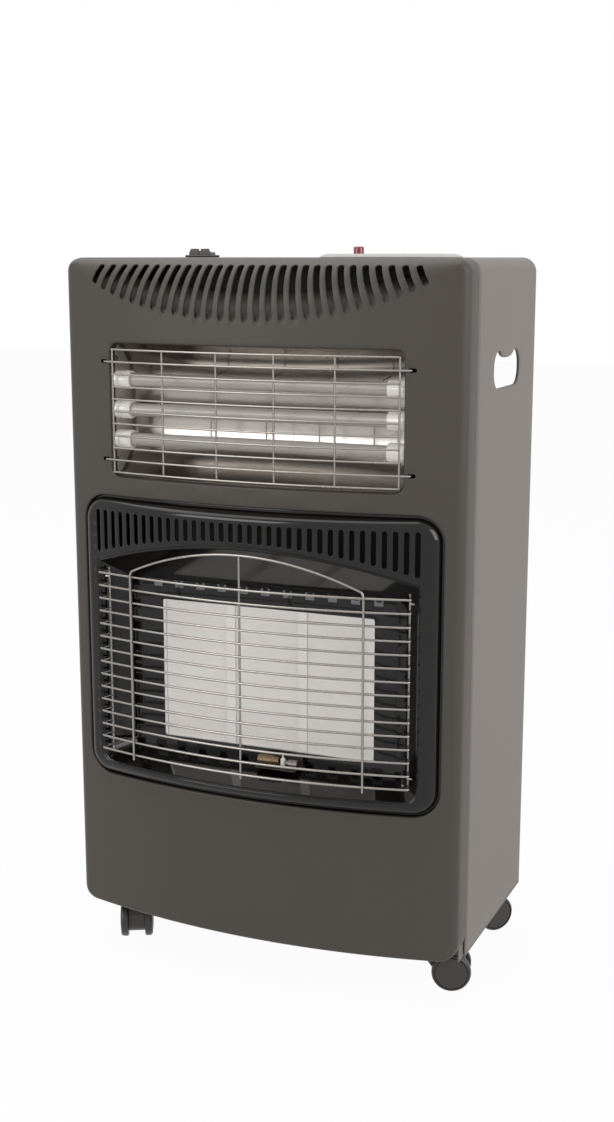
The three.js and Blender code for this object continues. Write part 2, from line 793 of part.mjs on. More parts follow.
function fireboxLiner() {
  const halfFront = openingWidth / 2 + linerLap;
  const low = openingBottom - linerLap;
  const side = openingSide + linerLap;
  const r = openingCorner + linerLap;
  const archZ = (x) => side + openingRise * (1 - (x / halfFront) ** 2);
  // outline seen from the front: bottom, right corner, arch, left corner
  const corner = [22.5, 67.5].map((degrees) => {
    const angle = THREE.MathUtils.degToRad(degrees);
    return [halfFront - r + r * Math.sin(angle), low + r - r * Math.cos(angle)];
  });
  const outline = [
    ...stationsTo(halfFront - r).map((x) => [x, low]),
    ...corner,
    [halfFront, low + r],
    ...stationsTo(halfFront).map((x) => [-x, archZ(x)]),
    [-halfFront, low + r],
    ...corner.map(([x, z]) => [-x, z]).reverse(),
  ];
  const front = (grow) => outline.map(([x, z]) => {
    const away = new THREE.Vector2(x / halfFront, (z - burnerCentreZ) / (openingTop - burnerCentreZ));
    return [x + grow * away.x, linerFrontY(x), z + grow * away.y];
  });
  const rear = (grow) => outline.map(([x, z]) => {
    const share = (z - low) / (archZ(x) - low);
    const rearLow = fireboxBottom - grow;
    return [
      x / halfFront * (fireboxWidth / 2 + grow),
      fireboxBackY + sheet,
      rearLow + share * (fireboxTop + grow - rearLow),
    ];
  });
  const funnel = ringSolid([front(0), rear(0), rear(sheet), front(sheet)]);
  const half = fireboxWidth / 2 + sheet / 2;
  const plate = prismY(roundedRect(-half, half, fireboxBottom - sheet / 2, fireboxTop + sheet / 2, 4),
    fireboxBackY, fireboxBackY + sheet, 3);
  const hole = box(-burnerWindowWidth / 2, burnerWindowWidth / 2, fireboxBackY - 5, fireboxBackY + 5,
    burnerBottom, burnerTop);
  return funnel.add(plate).subtract(hole);
}

// ---------------------------------------------------------------- burner
function plaqueX(index) {
  return (index - (plaqueCount - 1) / 2) * plaquePitch;
}

function plaqueFrame() {
  const half = plenumHalf + frameLap;
  let frame = box(-half, half, frameY, frameY + sheet, plenumBottom - frameLap, plenumTop + frameLap);
  for (let i = 0; i < plaqueCount; i += 1) {
    const x = plaqueX(i);
    frame = frame.subtract(box(x - plaqueSeen / 2, x + plaqueSeen / 2, frameY - 5, frameY + 5,
      burnerBottom + sheet, burnerTop - sheet));
  }
  return frame;
}

function ceramicPlaque(index) {
  const half = plaqueSeen / 2 + plaqueLap;
  const x = plaqueX(index);
  return box(x - half, x + half, plenumY, plenumY + plaqueThick, burnerBottom - 0.5, burnerTop + 0.5);
}

function burnerPlenum() {
  const half = plenumHalf + frameLap;
  const back = plenumY + plenumDepth;
  const rim = box(-half, half, plenumY, plenumY + sheet, plenumBottom - frameLap, plenumTop + frameLap);
  const pan = box(-plenumHalf, plenumHalf, plenumY, back, plenumBottom, plenumTop);
  let plenum = rim.add(pan).subtract(box(-plenumHalf + sheet, plenumHalf - sheet, plenumY - 1, back - sheet,
    plenumBottom + sheet, plenumTop - sheet));
  // walls between the three chambers, also the ledges that the plaques rest on
  for (const side of [-1, 1]) {
    const x = side * plaquePitch / 2;
    plenum = plenum.add(box(x - 3, x + 3, plenumY + plaqueThick + fit, back - sheet / 2,
      plenumBottom + sheet / 2, plenumTop - sheet / 2));
  }
  for (let i = 0; i < plaqueCount; i += 1) {
    const bore = rod(mixerRadius - mixerWall, 10, 16);
    plenum = plenum.subtract(bore.translate([plaqueX(i), mixerAxisY, plenumBottom - 5]));
  }
  return plenum;
}

// Venturi: flange under the plenum, throat, flared inlet at the bottom.
function mixingTube(index) {
  const low = -mixerLength;
  const wide = mixerRadius + mixerFlange;
  const throat = mixerRadius - mixerThroat;
  const narrowZ = -mixerNeck - mixerTaper;
  const outer = [[wide, 0], [wide, -mixerFlangeThick], [mixerRadius, -mixerFlangeThick],
    [mixerRadius, -mixerNeck], [throat, narrowZ], [throat, low + mixerFlare], [wide, low]];
  const inner = [[wide - mixerWall, low], [throat - mixerWall, low + mixerFlare],
    [throat - mixerWall, narrowZ], [mixerRadius - mixerWall, -mixerNeck], [mixerRadius - mixerWall, 0]];
  const profile = [...outer, ...inner, outer[0]].reverse();
  return turned(profile, 10).translate([plaqueX(index), mixerAxisY, mixerTop]);
}

function injectorManifold() {
  const reach = plaqueX(plaqueCount - 1) + 16;
  let manifold = alongX(rod(manifoldRadius, 2 * reach, 6)).translate([-reach, mixerAxisY, manifoldZ]);
  for (let i = 0; i < plaqueCount; i += 1) {
    const nozzle = turned([[0, 0], [4, 0], [4, manifoldRadius + injectorLength - 4],
      [1.6, manifoldRadius + injectorLength - 1], [1.6, injectorLength + manifoldRadius - 0.5],
      [0, injectorLength + manifoldRadius - 0.5]], 6);
    manifold = manifold.add(nozzle.translate([plaqueX(i), mixerAxisY, manifoldZ - manifoldRadius]));
  }
  for (const x of [-plaquePitch / 2, plaquePitch / 2]) {
    manifold = manifold.add(box(x - 6, x + 6, mixerAxisY, bulkheadY - fit, manifoldZ - 1, manifoldZ + 1));
  }
  return manifold;
}

// ---------------------------------------------------------------- pilot unit
function pilotBracket() {
  const x0 = pilotX - pilotWidth / 2;
  const x1 = pilotX + pilotWidth / 2;
  const shelf = box(x0, x1, -8, fireboxBackY - fit, pilotZ, pilotZ + sheet);
  return shelf.add(box(x0, x1, fireboxBackY - fit - sheet, fireboxBackY - fit, pilotZ, pilotZ + 9));
}

function pilotBurner() {
  const z = pilotZ + sheet + fit + 5;
  const body = alongX(turned([[0, 0], [5, 0], [5, 15], [4, 16], [4, 22], [0, 22]], 12));
  return body.translate([pilotX - pilotWidth / 2 + 1, 2, z]);
}

function pilotElectrode() {
  const z = pilotZ + sheet + fit;
  const stem = turned([[0, 0], [2.8, 0], [2.8, 7], [1.2, 9], [0.8, 9], [0.8, 14], [0, 14]], 10);
  return stem.translate([pilotX + 5, 2, z]);
}

function thermocouple() {
  const z = pilotZ + sheet + fit + 4;
  const body = alongX(turned([[0, 0], [2.5, 0], [2.5, 3], [4, 3], [4, 12], [0, 12]], 12));
  return body.translate([pilotX + 9, 2, z]);
}

// ---------------------------------------------------------------- lower guard
function lowerGuard() {
  const wires = [];
  const endY = guardY(guardHalf);
  const postX = guardHalf - 5.5;
  const postY = endY + guardReturn;
  const wallX = fireboxWallX(postY + guardWire) - fit;
  for (let i = 0; i < guardCount; i += 1) {
    const z = guardBottom + i * guardPitch;
    wires.push(bowedBar(guardHalf, z, guardY, guardWire, 7));
    for (const side of [-1, 1]) {
      wires.push(straightBar([side * (guardHalf - 0.4), endY, z], [side * postX, postY, z], guardWire));
    }
  }
  const low = guardBottom - 5;
  const high = guardBottom + (guardCount - 1) * guardPitch;
  for (const side of [-1, 1]) {
    wires.push(straightBar([side * postX, postY, low], [side * postX, postY, high + 3], guardWire));
    const archY = guardY(archHalf) - archStand;
    wires.push(straightBar([side * archHalf, archY, low], [side * archHalf, archY, archShoulder + 0.5],
      guardWire));
    // stubs that stand on the firebox wall
    for (const z of [guardBottom + guardPitch / 2, high - guardPitch / 2]) {
      wires.push(straightBar([side * postX, postY, z], [side * wallX, postY, z], guardWire));
    }
  }
  const middleY = guardY(0) + postSet;
  wires.push(straightBar([0, middleY, low], [0, middleY, archShoulder + archRise], guardWire));
  wires.push(bowedBar(archHalf, archShoulder, (x) => guardY(x) - archStand, guardWire, 8, archRise));
  return joined(wires);
}

// Half width of the firebox at depth y, between the opening and the back plate.
function fireboxWallX(y) {
  const frontX = openingWidth / 2 + linerLap;
  const frontY = linerFrontY(frontX);
  const share = (y - frontY) / (fireboxBackY + sheet - frontY);
  return frontX + share * (fireboxWidth / 2 - frontX);
}

// ---------------------------------------------------------------- electric unit
function tubeZ(index) {
  return tubeMiddleZ + ((tubeCount - 1) / 2 - index) * tubePitch;
}

// Trough whose rims follow the panel's bow, just behind the window's lip.
function reflector() {
  const half = endPlateX - fit;
  const z0 = windowBottom - reflectorMargin;
  const height = windowHeight + 2 * reflectorMargin;
  const bends = 6;
  const column = (x, set) => Array.from({ length: bends + 1 }, (_, j) => {
    const v = 2 * j / bends - 1;
    const rimY = bowY(x) + windowLip + fit;
    const deep = reflectorBackY - rimY;
    return [x, rimY + deep * (1 - v ** 4) + set, z0 + height * (v + 1) / 2];
  });
  const xs = stationsTo(half);
  return gridSolid(xs.map((x) => column(x, 0)), xs.map((x) => column(x, 2.5 * sheet)));
}

function endPlate() {
  const z0 = windowBottom - reflectorMargin;
  const z1 = windowTop + reflectorMargin;
  const back = bulkheadY - fit;
  let plate = box(endPlateX, endPlateX + sheet, bowY(endPlateX) + windowLip + endPlateSet, back, z0, z1)
    .add(box(endPlateX, endPlateX + endPlateFlange, back - sheet, back, z0, z1));
  for (let i = 0; i < tubeCount; i += 1) {
    plate = plate.subtract(alongX(rod(spigotRadius + fit, 10, 10)).translate([endPlateX - 5, tubeY, tubeZ(i)]));
  }
  return plate;
}

function quartzTube(index) {
  const tube = ring(tubeRadius - tubeWall, tubeRadius, 2 * tubeHalf, 12);
  return alongX(tube).translate([-tubeHalf, tubeY, tubeZ(index)]);
}

function heatingCore(index) {
  return alongX(rod(coreRadius, 2 * tubeHalf, 8)).translate([-tubeHalf, tubeY, tubeZ(index)]);
}

// Right-hand cap: the bore takes the tube, the spigot stands in the end plate.
function endCap(index) {
  const bore = tubeRadius + fit;
  const spigot = capX - (endPlateX + sheet + spigotReach);
  const cap = turned([[0, spigot], [spigotRadius, spigot], [spigotRadius, 0], [capRadius, 0],
    [capRadius, capLength - 1], [capRadius - 1, capLength], [bore, capLength],
    [bore, capLength - capBore], [0, capLength - capBore]], 12);
  return cap.rotate([0, -90, 0]).translate([capX, tubeY, tubeZ(index)]);
}

function mirroredX(manifold) {
  return manifold.mirror([1, 0, 0]);
}

function upperGuard() {
  const wires = [];
  for (let i = 0; i < upperCount; i += 1) {
    const z = upperBottom + i * upperPitch;
    const hooked = i === 1 || i === upperCount - 2;
    const half = hooked ? hookX - 1 : upperHalf;
    wires.push(bowedBar(half, z, upperGuardY, upperWire, 6));
    if (hooked) {
      for (const side of [-1, 1]) {
        const y = upperGuardY(half);
        wires.push(straightBar([side * (half - 0.4), y, z], [side * (hookX + 1), y + 8, z], upperWire));
      }
    }
  }
  const high = upperBottom + (upperCount - 1) * upperPitch;
  const posts = 2 * upperHalf / upperPostPitch;
  for (let i = 0; i <= posts; i += 1) {
    const x = -upperHalf + i * upperPostPitch;
    const y = upperGuardY(x) + 1.5;
    wires.push(straightBar([x, y, upperBottom - 0.6], [x, y, high + 0.6], upperWire));
  }
  return joined(wires);
}

// ---------------------------------------------------------------- gas controls
function controlPlate() {
  const inset = plateBevel * 2;
  const outline = roundedRect(plateX - plateLength / 2 + inset, plateX + plateLength / 2 - inset,
    plateY - plateDepth / 2 + inset, plateY + plateDepth / 2 - inset, plateCorner - inset);
  // a thin flat plate under a bevelled one gives the low domed edge
  const rim = roundedRect(plateX - plateLength / 2, plateX + plateLength / 2,
    plateY - plateDepth / 2, plateY + plateDepth / 2, plateCorner);
  const bevelled = extruded(outline, 0.2, 3, {
    bevelEnabled: true, bevelThickness: plateThick - 1.3, bevelSize: inset - 0.4, bevelSegments: 2,
  });
  bevelled.translate(0, 0, plateTop - 0.2 - (plateThick - 1.3));
  const above = box(-cabinetWidth, cabinetWidth, 0, cabinetWidth, plateZ + 0.4, plateTop + 5);
  const plate = prismZ(rim, plateZ, plateZ + 1.1).add(solid(bevelled).intersect(above));
  // the hole is stepped: its lip covers the well's upper edge
  return plate.subtract(rod(wellRadius, 20, 24).translate([wellX, plateY, plateZ - 5]))
    .subtract(rod(wellRadius + wellWall + fit, wellTop + fit - plateZ + 5, 24)
      .translate([wellX, plateY, plateZ - 5]))
    .subtract(rod(buttonRadius + fit, 20).translate([buttonX, plateY, plateZ - 5]));
}

// Cup under the plate that the knob sinks into, open at the bottom for the stem.
function knobWell() {
  const wall = wellRadius + wellWall;
  return turned([[stemRadius + 1, wellFloor], [wall, wellFloor], [wall, wellTop], [wellRadius, wellTop],
    [wellRadius, wellFloor + wellWall], [stemRadius + 1, wellFloor + wellWall], [stemRadius + 1, wellFloor]], 24)
    .translate([wellX, plateY, 0]);
}

function controlKnob() {
  const bore = stemRadius + fit;
  const boreDepth = 8;
  const profile = [[bore, 0], [knobRadius, 0], [knobRadius, 2], [knobRadius - 2, 3.5],
    [knobRadius - 3, knobHeight - 3], [knobRadius - 5, knobHeight - 1.5], [0, knobHeight - 1.5],
    [0, boreDepth], [bore, boreDepth], [bore, 0]];
  const grip = prismY(polygon([[-knobRadius + 3.5, 3], [knobRadius - 3.5, 3], [knobRadius - 5.5, knobHeight],
    [-knobRadius + 5.5, knobHeight]]), -2.5, 2.5).subtract(rod(bore + 1, boreDepth + 0.5));
  return turned(profile, 24).add(grip).translate([wellX, plateY, knobZ]);
}

function valveStem() {
  const z0 = valveTop - 12;
  return rod(stemRadius, knobZ + 8 - fit - z0, 14).translate([wellX, plateY, z0]);
}

function springCollar() {
  return ring(stemRadius + fit, collarRadius, collarThick, 12).translate([wellX, plateY, collarZ]);
}

function gasValve() {
  const z0 = valveTop - valveHeight;
  const body = box(wellX - valveWidth / 2, wellX + valveWidth / 2, plateY - valveDepth / 2,
    plateY + valveDepth / 2, z0, valveTop);
  const boss = rod(pipeRadius + 3, 9, 12).translate([wellX, plateY, z0 - 8]);
  const inlet = alongY(rod(hoseTailRadius + 3, 9, 12))
    .translate([wellX, plateY + valveDepth / 2 - 1, z0 + valveHeight / 2]);
  return body.add(boss).add(inlet)
    .subtract(rod(stemRadius + fit, 30, 14).translate([wellX, plateY, valveTop - 12 - knobPush - fit]));
}

// Barbed spigot for the gas hose.
function hoseTail() {
  const y0 = plateY + valveDepth / 2 + 8 + fit;
  const r = hoseTailRadius;
  const barbs = [[0, 0], [r + 4, 0], [r + 4, 7], [r - 1, 9]];
  for (let i = 0; i < 4; i += 1) {
    const z = 11 + i * 7;
    barbs.push([r + 0.8, z], [r - 0.8, z + 6]);
  }
  barbs.push([r - 1.5, hoseTailLength], [0, hoseTailLength]);
  return alongY(turned(barbs, 10)).translate([wellX, y0, valveTop - valveHeight / 2]);
}

function gasPipe() {
  const top = valveTop - valveHeight - 8 - fit;
  const end = plaqueX(plaqueCount - 1) + 16 + fit;
  const drop = bulkheadY + pipeStand;
  const bend = 4 * pipeRadius;
  const points = [
    [wellX, plateY, top], [wellX, plateY, top - bend], [pipeX, drop + 2, top - 4 * bend],
    [pipeX, drop, top - 6 * bend], [pipeX, drop, manifoldZ + 2 * bend], [pipeX, drop, manifoldZ + bend],
    [pipeX, drop - bend / 4, manifoldZ + bend / 4], [pipeX, bulkheadY + sheet / 2, manifoldZ],
    [pipeX, mixerAxisY + bend, manifoldZ],
    [pipeX - bend / 3, mixerAxisY + bend / 4, manifoldZ],
    [end + bend / 2, mixerAxisY, manifoldZ], [end, mixerAxisY, manifoldZ],
  ];
  const curve = new THREE.CatmullRomCurve3(points.map((p) => new THREE.Vector3(...p)), false, 'centripetal');
  return bar(curve, pipeRadius, 28, 6);
}

function igniterButton() {
  const bottom = plateTop - 8;
  const top = plateTop + buttonStand;
  return turned([[0, bottom], [buttonRadius, bottom], [buttonRadius, top - 1], [buttonRadius - 1, top],
    [0, top]], 14).translate([buttonX, plateY, 0]);
}

function piezoIgniter() {
  const top = plateZ - fit;
  const bottom = top - piezoLength;
  const bore = plateTop - 8 - buttonPush - 1;
  return turned([[0, bottom], [4, bottom], [4, bottom + 6], [piezoRadius, bottom + 8], [piezoRadius, top],
    [buttonRadius + fit, top], [buttonRadius + fit, bore], [0, bore]], 14).translate([buttonX, plateY, 0]);
}

// ---------------------------------------------------------------- rocker switch
function switchBody() {
  const halfX = switchLength / 2;
  const halfY = switchDepth / 2;
  const rim = roundedRect(switchX - halfX, switchX + halfX, switchY - halfY, switchY + halfY, 2);
  const body = box(switchX - halfX + 2, switchX + halfX - 2, switchY - halfY + 2, switchY + halfY - 2,
    cabinetTop - 24, switchZ + 1);
  const holeX = rockerPitch / 2 + rockerWidth / 2 + fit;
  const holeY = rockerLength / 2 + 1.5;
  const hollow = box(switchX - holeX, switchX + holeX, switchY - holeY, switchY + holeY,
    cabinetTop - 12, switchZ + 10);
  // ribs carry the rockers between them
  const rib = box(switchX - 0.2, switchX + 0.2, switchY - holeY - 1, switchY + holeY + 1,
    cabinetTop - 13, switchZ + switchRim - 0.5);
  return prismZ(rim, switchZ, switchZ + switchRim, 3).add(body).subtract(hollow).add(rib);
}

// The rocker stands with its front end up: its level shape, tilted about the pivot.
function rocker(side) {
  const half = rockerLength / 2;
  const profile = polygon([[-half, -1], [-5, -5], [5, -5], [half, -1], [half - 0.4, rockerEnd],
    [0, rockerMiddle], [-half + 0.4, rockerEnd]]);
  const x = side * rockerPitch / 2;
  return prismX(profile, x - rockerWidth / 2, x + rockerWidth / 2)
    .rotate([-rockerTilt, 0, 0]).translate([switchX, switchY, rockerPivotZ]);
}

// ---------------------------------------------------------------- casters
// Made with the trail along +X from a pivot at the origin, then turned and placed.
function placeCaster(manifold, corner) {
  const x = corner.endsWith('l') ? -casterX : casterX;
  const y = corner.startsWith('f') ? casterFrontY : casterRearY;
  return manifold.rotate([0, 0, casterTurns[corner]]).translate([x, y, 0]);
}

function casterHood(corner) {
  const r = wheelRadius - hoodWheelGap;
  const outline = new THREE.Shape();
  outline.moveTo(-hoodRear, hoodTop);
  outline.lineTo(-hoodRear, hoodTop - hoodRearDrop);
  outline.lineTo(casterTrail - r * Math.cos(Math.PI / 5), wheelRadius - r * Math.sin(Math.PI / 5));
  outline.absarc(casterTrail, wheelRadius, r, 1.2 * Math.PI, 2 * Math.PI);
  outline.lineTo(casterTrail + r, wheelRadius + hoodFrontRise);
  outline.lineTo(casterTrail + hoodFrontReach, hoodTop);
  const web = prismY(outline, -hoodWidth / 2, hoodWidth / 2, 4);
  const bore = prismY(circle(casterTrail, wheelRadius, axleRadius + fit), -hoodWidth, hoodWidth, 4);
  const neck = rod(casterBoss, baseZ - fit - hoodTop + 2, 12).translate([0, 0, hoodTop - 2]);
  const stem = rod(casterStem, baseFlange, 10).translate([0, 0, hoodTop]);
  return placeCaster(web.subtract(bore).add(neck).add(stem), corner);
}

// Two wheels pressed on one axle.
function casterWheels(corner) {
  const inner = wheelSpacing / 2 - wheelWidth / 2;
  const outer = wheelSpacing / 2 + wheelWidth / 2;
  const r = wheelRadius;
  const half = [[axleRadius, inner], [r, inner], [r, outer - wheelRound], [r - wheelFaceInset, outer],
    [0, outer]];
  const mirrored = half.map(([radius, z]) => [radius, -z]).reverse();
  const pair = alongY(turned([...mirrored, ...half], 18));
  return placeCaster(pair.translate([casterTrail, 0, wheelRadius]), corner);
}

// ---------------------------------------------------------------- fittings inside
function mainsGland() {
  const r = glandRadius;
  const profile = [[0, 0], [r, 0], [r, 9], [r + 4, 9], [r + 4, 14], [r - 2, 26], [r - 4, 26], [r - 4, 16],
    [0, 16]];
  return alongY(turned(profile, 14)).translate([glandX, bulkheadY + sheet + fit - 9, glandZ]);
}

function terminalBlock() {
  const y0 = bulkheadY + sheet + fit;
  let block = box(terminalX - 22, terminalX + 22, y0, y0 + 16, terminalZ - 8, terminalZ + 8);
  for (const i of [-1, 0, 1]) {
    const x = terminalX + i * 13;
    block = block.subtract(box(x - 4, x + 4, y0 + 8, y0 + 20, terminalZ - 5, terminalZ + 5));
  }
  return block;
}

function tipOverSwitch() {
  const z0 = baseFloor + fit;
  const body = box(tipSwitchX - 15, tipSwitchX + 15, tipSwitchY - 9, tipSwitchY + 9, z0, z0 + 24);
  return body.add(box(tipSwitchX - 22, tipSwitchX + 22, tipSwitchY - 9, tipSwitchY + 9, z0, z0 + 2));
}

// ---------------------------------------------------------------- finishes
const finishes = {
  charcoal: { color: 0x4f4a45, roughness: 0.62, metalness: 0.25 },
  grey: { color: 0x857d77, roughness: 0.6, metalness: 0.25 },
  enamel: { color: 0x16140f, roughness: 0.12, metalness: 0 },
  steel: { color: 0x9b9893, roughness: 0.35, metalness: 0.9 },
  chrome: { color: 0xc9c6c2, roughness: 0.15, metalness: 1 },
  ceramic: { color: 0xe6e0da, roughness: 0.9, metalness: 0 },
  porcelain: { color: 0xefebe6, roughness: 0.35, metalness: 0 },
  quartz: { color: 0xcfc8c0, roughness: 0.3, metalness: 0 },
  brass: { color: 0xb59a5b, roughness: 0.35, metalness: 1 },
  black: { color: 0x2b2826, roughness: 0.5, metalness: 0 },
  red: { color: 0x9c1f28, roughness: 0.3, metalness: 0 },
  polymer: { color: 0x8d8680, roughness: 0.5, metalness: 0 },
};

// ---------------------------------------------------------------- assembly
const heater = new THREE.Group();
heater.name = 'gas_cabinet_heater';

function place(name, manifold, finish) {
  const mesh = new THREE.Mesh(toGeometry(manifold), new THREE.MeshStandardMaterial(finishes[finish]));
  mesh.name = name;
  heater.add(mesh);
}

place('front_panel', frontPanel(), 'charcoal');
place('cabinet_wrap', cabinetWrap(), 'grey');
place('base_plate', basePlate(), 'steel');
place('bulkhead', bulkhead(), 'steel');
place('enamel_surround', enamelSurround(), 'enamel');
place('firebox_liner', fireboxLiner(), 'enamel');

place('plaque_frame', plaqueFrame(), 'chrome');
place('burner_plenum', burnerPlenum(), 'steel');
for (let i = 0; i < plaqueCount; i += 1) {
  place(`ceramic_plaque_${i + 1}`, ceramicPlaque(i), 'ceramic');
  place(`mixing_tube_${i + 1}`, mixingTube(i), 'steel');
}
place('injector_manifold', injectorManifold(), 'brass');
place('pilot_bracket', pilotBracket(), 'steel');
place('pilot_burner', pilotBurner(), 'brass');
place('pilot_electrode', pilotElectrode(), 'porcelain');
place('thermocouple', thermocouple(), 'chrome');
place('lower_guard', lowerGuard(), 'chrome');

place('reflector', reflector(), 'chrome');
place('end_plate_left', mirroredX(endPlate()), 'chrome');
place('end_plate_right', endPlate(), 'chrome');
for (let i = 0; i < tubeCount; i += 1) {
  place(`quartz_tube_${i + 1}`, quartzTube(i), 'quartz');
  place(`heating_core_${i + 1}`, heatingCore(i), 'steel');
  place(`end_cap_${i + 1}_left`, mirroredX(endCap(i)), 'porcelain');
  place(`end_cap_${i + 1}_right`, endCap(i), 'porcelain');
}
place('upper_guard', upperGuard(), 'chrome');

place('control_plate', controlPlate(), 'polymer');
place('knob_well', knobWell(), 'polymer');
place('control_knob', controlKnob(), 'black');
place('valve_stem', valveStem(), 'steel');
place('spring_collar', springCollar(), 'steel');
place('gas_valve', gasValve(), 'brass');
place('hose_tail', hoseTail(), 'brass');
place('gas_pipe', gasPipe(), 'steel');
place('igniter_button', igniterButton(), 'red');
place('piezo_igniter', piezoIgniter(), 'black');
place('switch_body', switchBody(), 'black');
place('rocker_left', rocker(-1), 'black');
place('rocker_right', rocker(1), 'black');

for (const corner of Object.keys(casterTurns)) {
  place(`caster_${corner}_hood`, casterHood(corner), 'black');
  place(`caster_${corner}_wheels`, casterWheels(corner), 'black');
}

place('mains_gland', mainsGland(), 'black');
place('terminal_block', terminalBlock(), 'porcelain');
place('tip_over_switch', tipOverSwitch(), 'black');

// The footprint runs from the lower guard's arch wire to the cabinet's back edge.
const footprintFront = guardY(0) - archStand - guardWire;
heater.position.set(0, -(footprintFront + cabinetBackY) / 2, 0);

export default heater;
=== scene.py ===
from math import asin, atan2, ceil, copysign, cos, hypot, pi, radians, sin, sqrt

import bpy
import numpy as np
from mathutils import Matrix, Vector
from mathutils.geometry import delaunay_2d_cdt


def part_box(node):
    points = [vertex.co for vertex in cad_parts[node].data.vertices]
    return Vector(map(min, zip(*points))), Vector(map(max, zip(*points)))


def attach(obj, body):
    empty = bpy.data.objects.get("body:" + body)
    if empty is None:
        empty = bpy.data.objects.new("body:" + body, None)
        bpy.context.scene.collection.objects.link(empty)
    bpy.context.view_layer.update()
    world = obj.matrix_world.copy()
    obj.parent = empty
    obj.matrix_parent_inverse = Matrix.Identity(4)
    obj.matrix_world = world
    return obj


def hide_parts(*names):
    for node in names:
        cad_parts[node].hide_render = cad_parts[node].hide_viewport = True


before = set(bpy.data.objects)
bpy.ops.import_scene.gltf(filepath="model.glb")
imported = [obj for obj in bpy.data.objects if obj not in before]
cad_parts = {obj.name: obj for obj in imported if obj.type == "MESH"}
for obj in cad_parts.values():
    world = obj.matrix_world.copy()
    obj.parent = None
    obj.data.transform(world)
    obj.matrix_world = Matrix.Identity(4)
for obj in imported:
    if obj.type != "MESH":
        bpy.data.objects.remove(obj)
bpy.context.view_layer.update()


# ---- Studio: the camera stands where the photographer stood, right of the heater, level with its top.
# White floor and sky, a large soft lamp on the right, a weaker one on the front left, a wide one overhead.
camera = bpy.data.objects.new("camera", bpy.data.cameras.new("camera"))
bpy.context.collection.objects.link(camera)
camera.location = (0.6178, -1.4197, 0.7284)
camera.rotation_euler = (radians(90 - 11.33), 0, radians(23.072))
camera.data.lens = 48.94
bpy.context.scene.camera = camera
bpy.context.scene.view_settings.view_transform = "Standard"


def seen_directly(tree):
    """1 for camera, mirror and glass rays, 0 for the light that falls on things."""
    path = tree.nodes.new("ShaderNodeLightPath")
    total = path.outputs["Is Camera Ray"]
    for ray in ("Is Glossy Ray", "Is Transmission Ray"):
        either = tree.nodes.new("ShaderNodeMath")
        either.operation = "MAXIMUM"
        tree.links.new(total, either.inputs[0])
        tree.links.new(path.outputs[ray], either.inputs[1])
        total = either.outputs[0]
    return total


sky = bpy.data.worlds.new("sky")
sky.use_nodes = True
bpy.context.scene.world = sky
tree = sky.node_tree
ambient = tree.nodes["Background"]
ambient.inputs["Color"].default_value = (0.38, 0.38, 0.38, 1)
white = tree.nodes.new("ShaderNodeBackground")
white.inputs["Color"].default_value = (1, 1, 1, 1)
blend = tree.nodes.new("ShaderNodeMixShader")
tree.links.new(seen_directly(tree), blend.inputs["Fac"])
tree.links.new(ambient.outputs[0], blend.inputs[1])
tree.links.new(white.outputs[0], blend.inputs[2])
tree.links.new(blend.outputs[0], tree.nodes["World Output"].inputs["Surface"])

floor_mesh = bpy.data.meshes.new("floor")
floor_mesh.from_pydata([(-9, -9, 0), (9, -9, 0), (9, 9, 0), (-9, 9, 0)], [], [(0, 1, 2, 3)])
floor = bpy.data.objects.new("floor", floor_mesh)
bpy.context.collection.objects.link(floor)
paper = bpy.data.materials.new("floor_paper")
paper.use_nodes = True
tree = paper.node_tree
tree.nodes["Principled BSDF"].inputs["Base Color"].default_value = (0.8, 0.8, 0.8, 1)
tree.nodes["Principled BSDF"].inputs["Roughness"].default_value = 1
tree.nodes["Principled BSDF"].inputs["Specular IOR Level"].default_value = 0
glow = tree.nodes.new("ShaderNodeEmission")
floor_white = 0.96
share = tree.nodes.new("ShaderNodeMath")
share.operation = "MULTIPLY"
share.inputs[1].default_value = floor_white
blend = tree.nodes.new("ShaderNodeMixShader")
tree.links.new(seen_directly(tree), share.inputs[0])
tree.links.new(share.outputs[0], blend.inputs["Fac"])
tree.links.new(tree.nodes["Principled BSDF"].outputs[0], blend.inputs[1])
tree.links.new(glow.outputs[0], blend.inputs[2])
tree.links.new(blend.outputs[0], tree.nodes["Material Output"].inputs["Surface"])
floor_mesh.materials.append(paper)

aim = Vector((0, 0, 0.4))
for name, spot, watts, size in (("key_lamp", (2.9, -0.5, 1.5), 50, 1.8),
                                ("fill_lamp", (-1.6, -2.9, 1.5), 38, 1.6),
                                ("top_lamp", (-0.6, 0, 2.6), 36, 2.5)):
    lamp = bpy.data.objects.new(name, bpy.data.lights.new(name, "AREA"))
    bpy.context.collection.objects.link(lamp)
    lamp.data.energy = watts
    lamp.data.size = size
    lamp.location = spot
    lamp.rotation_euler = (aim - lamp.location).to_track_quat("-Z", "Y").to_euler()


# ---- Base plate and bulkhead: folded sheet, held in the cabinet by screws.
# The folded shapes come from the drawing; here they get a dull coat, painted dark as painted shade for the
# dim inside of the cabinet.
def colour(red, green, blue):
    """Colour as seen on a screen, 0 to 255, in the renderer's own numbers."""
    tones = [tone / 255 for tone in (red, green, blue)]
    return (*[tone / 12.92 if tone < 0.04 else ((tone + 0.055) / 1.055) ** 2.4 for tone in tones], 1)


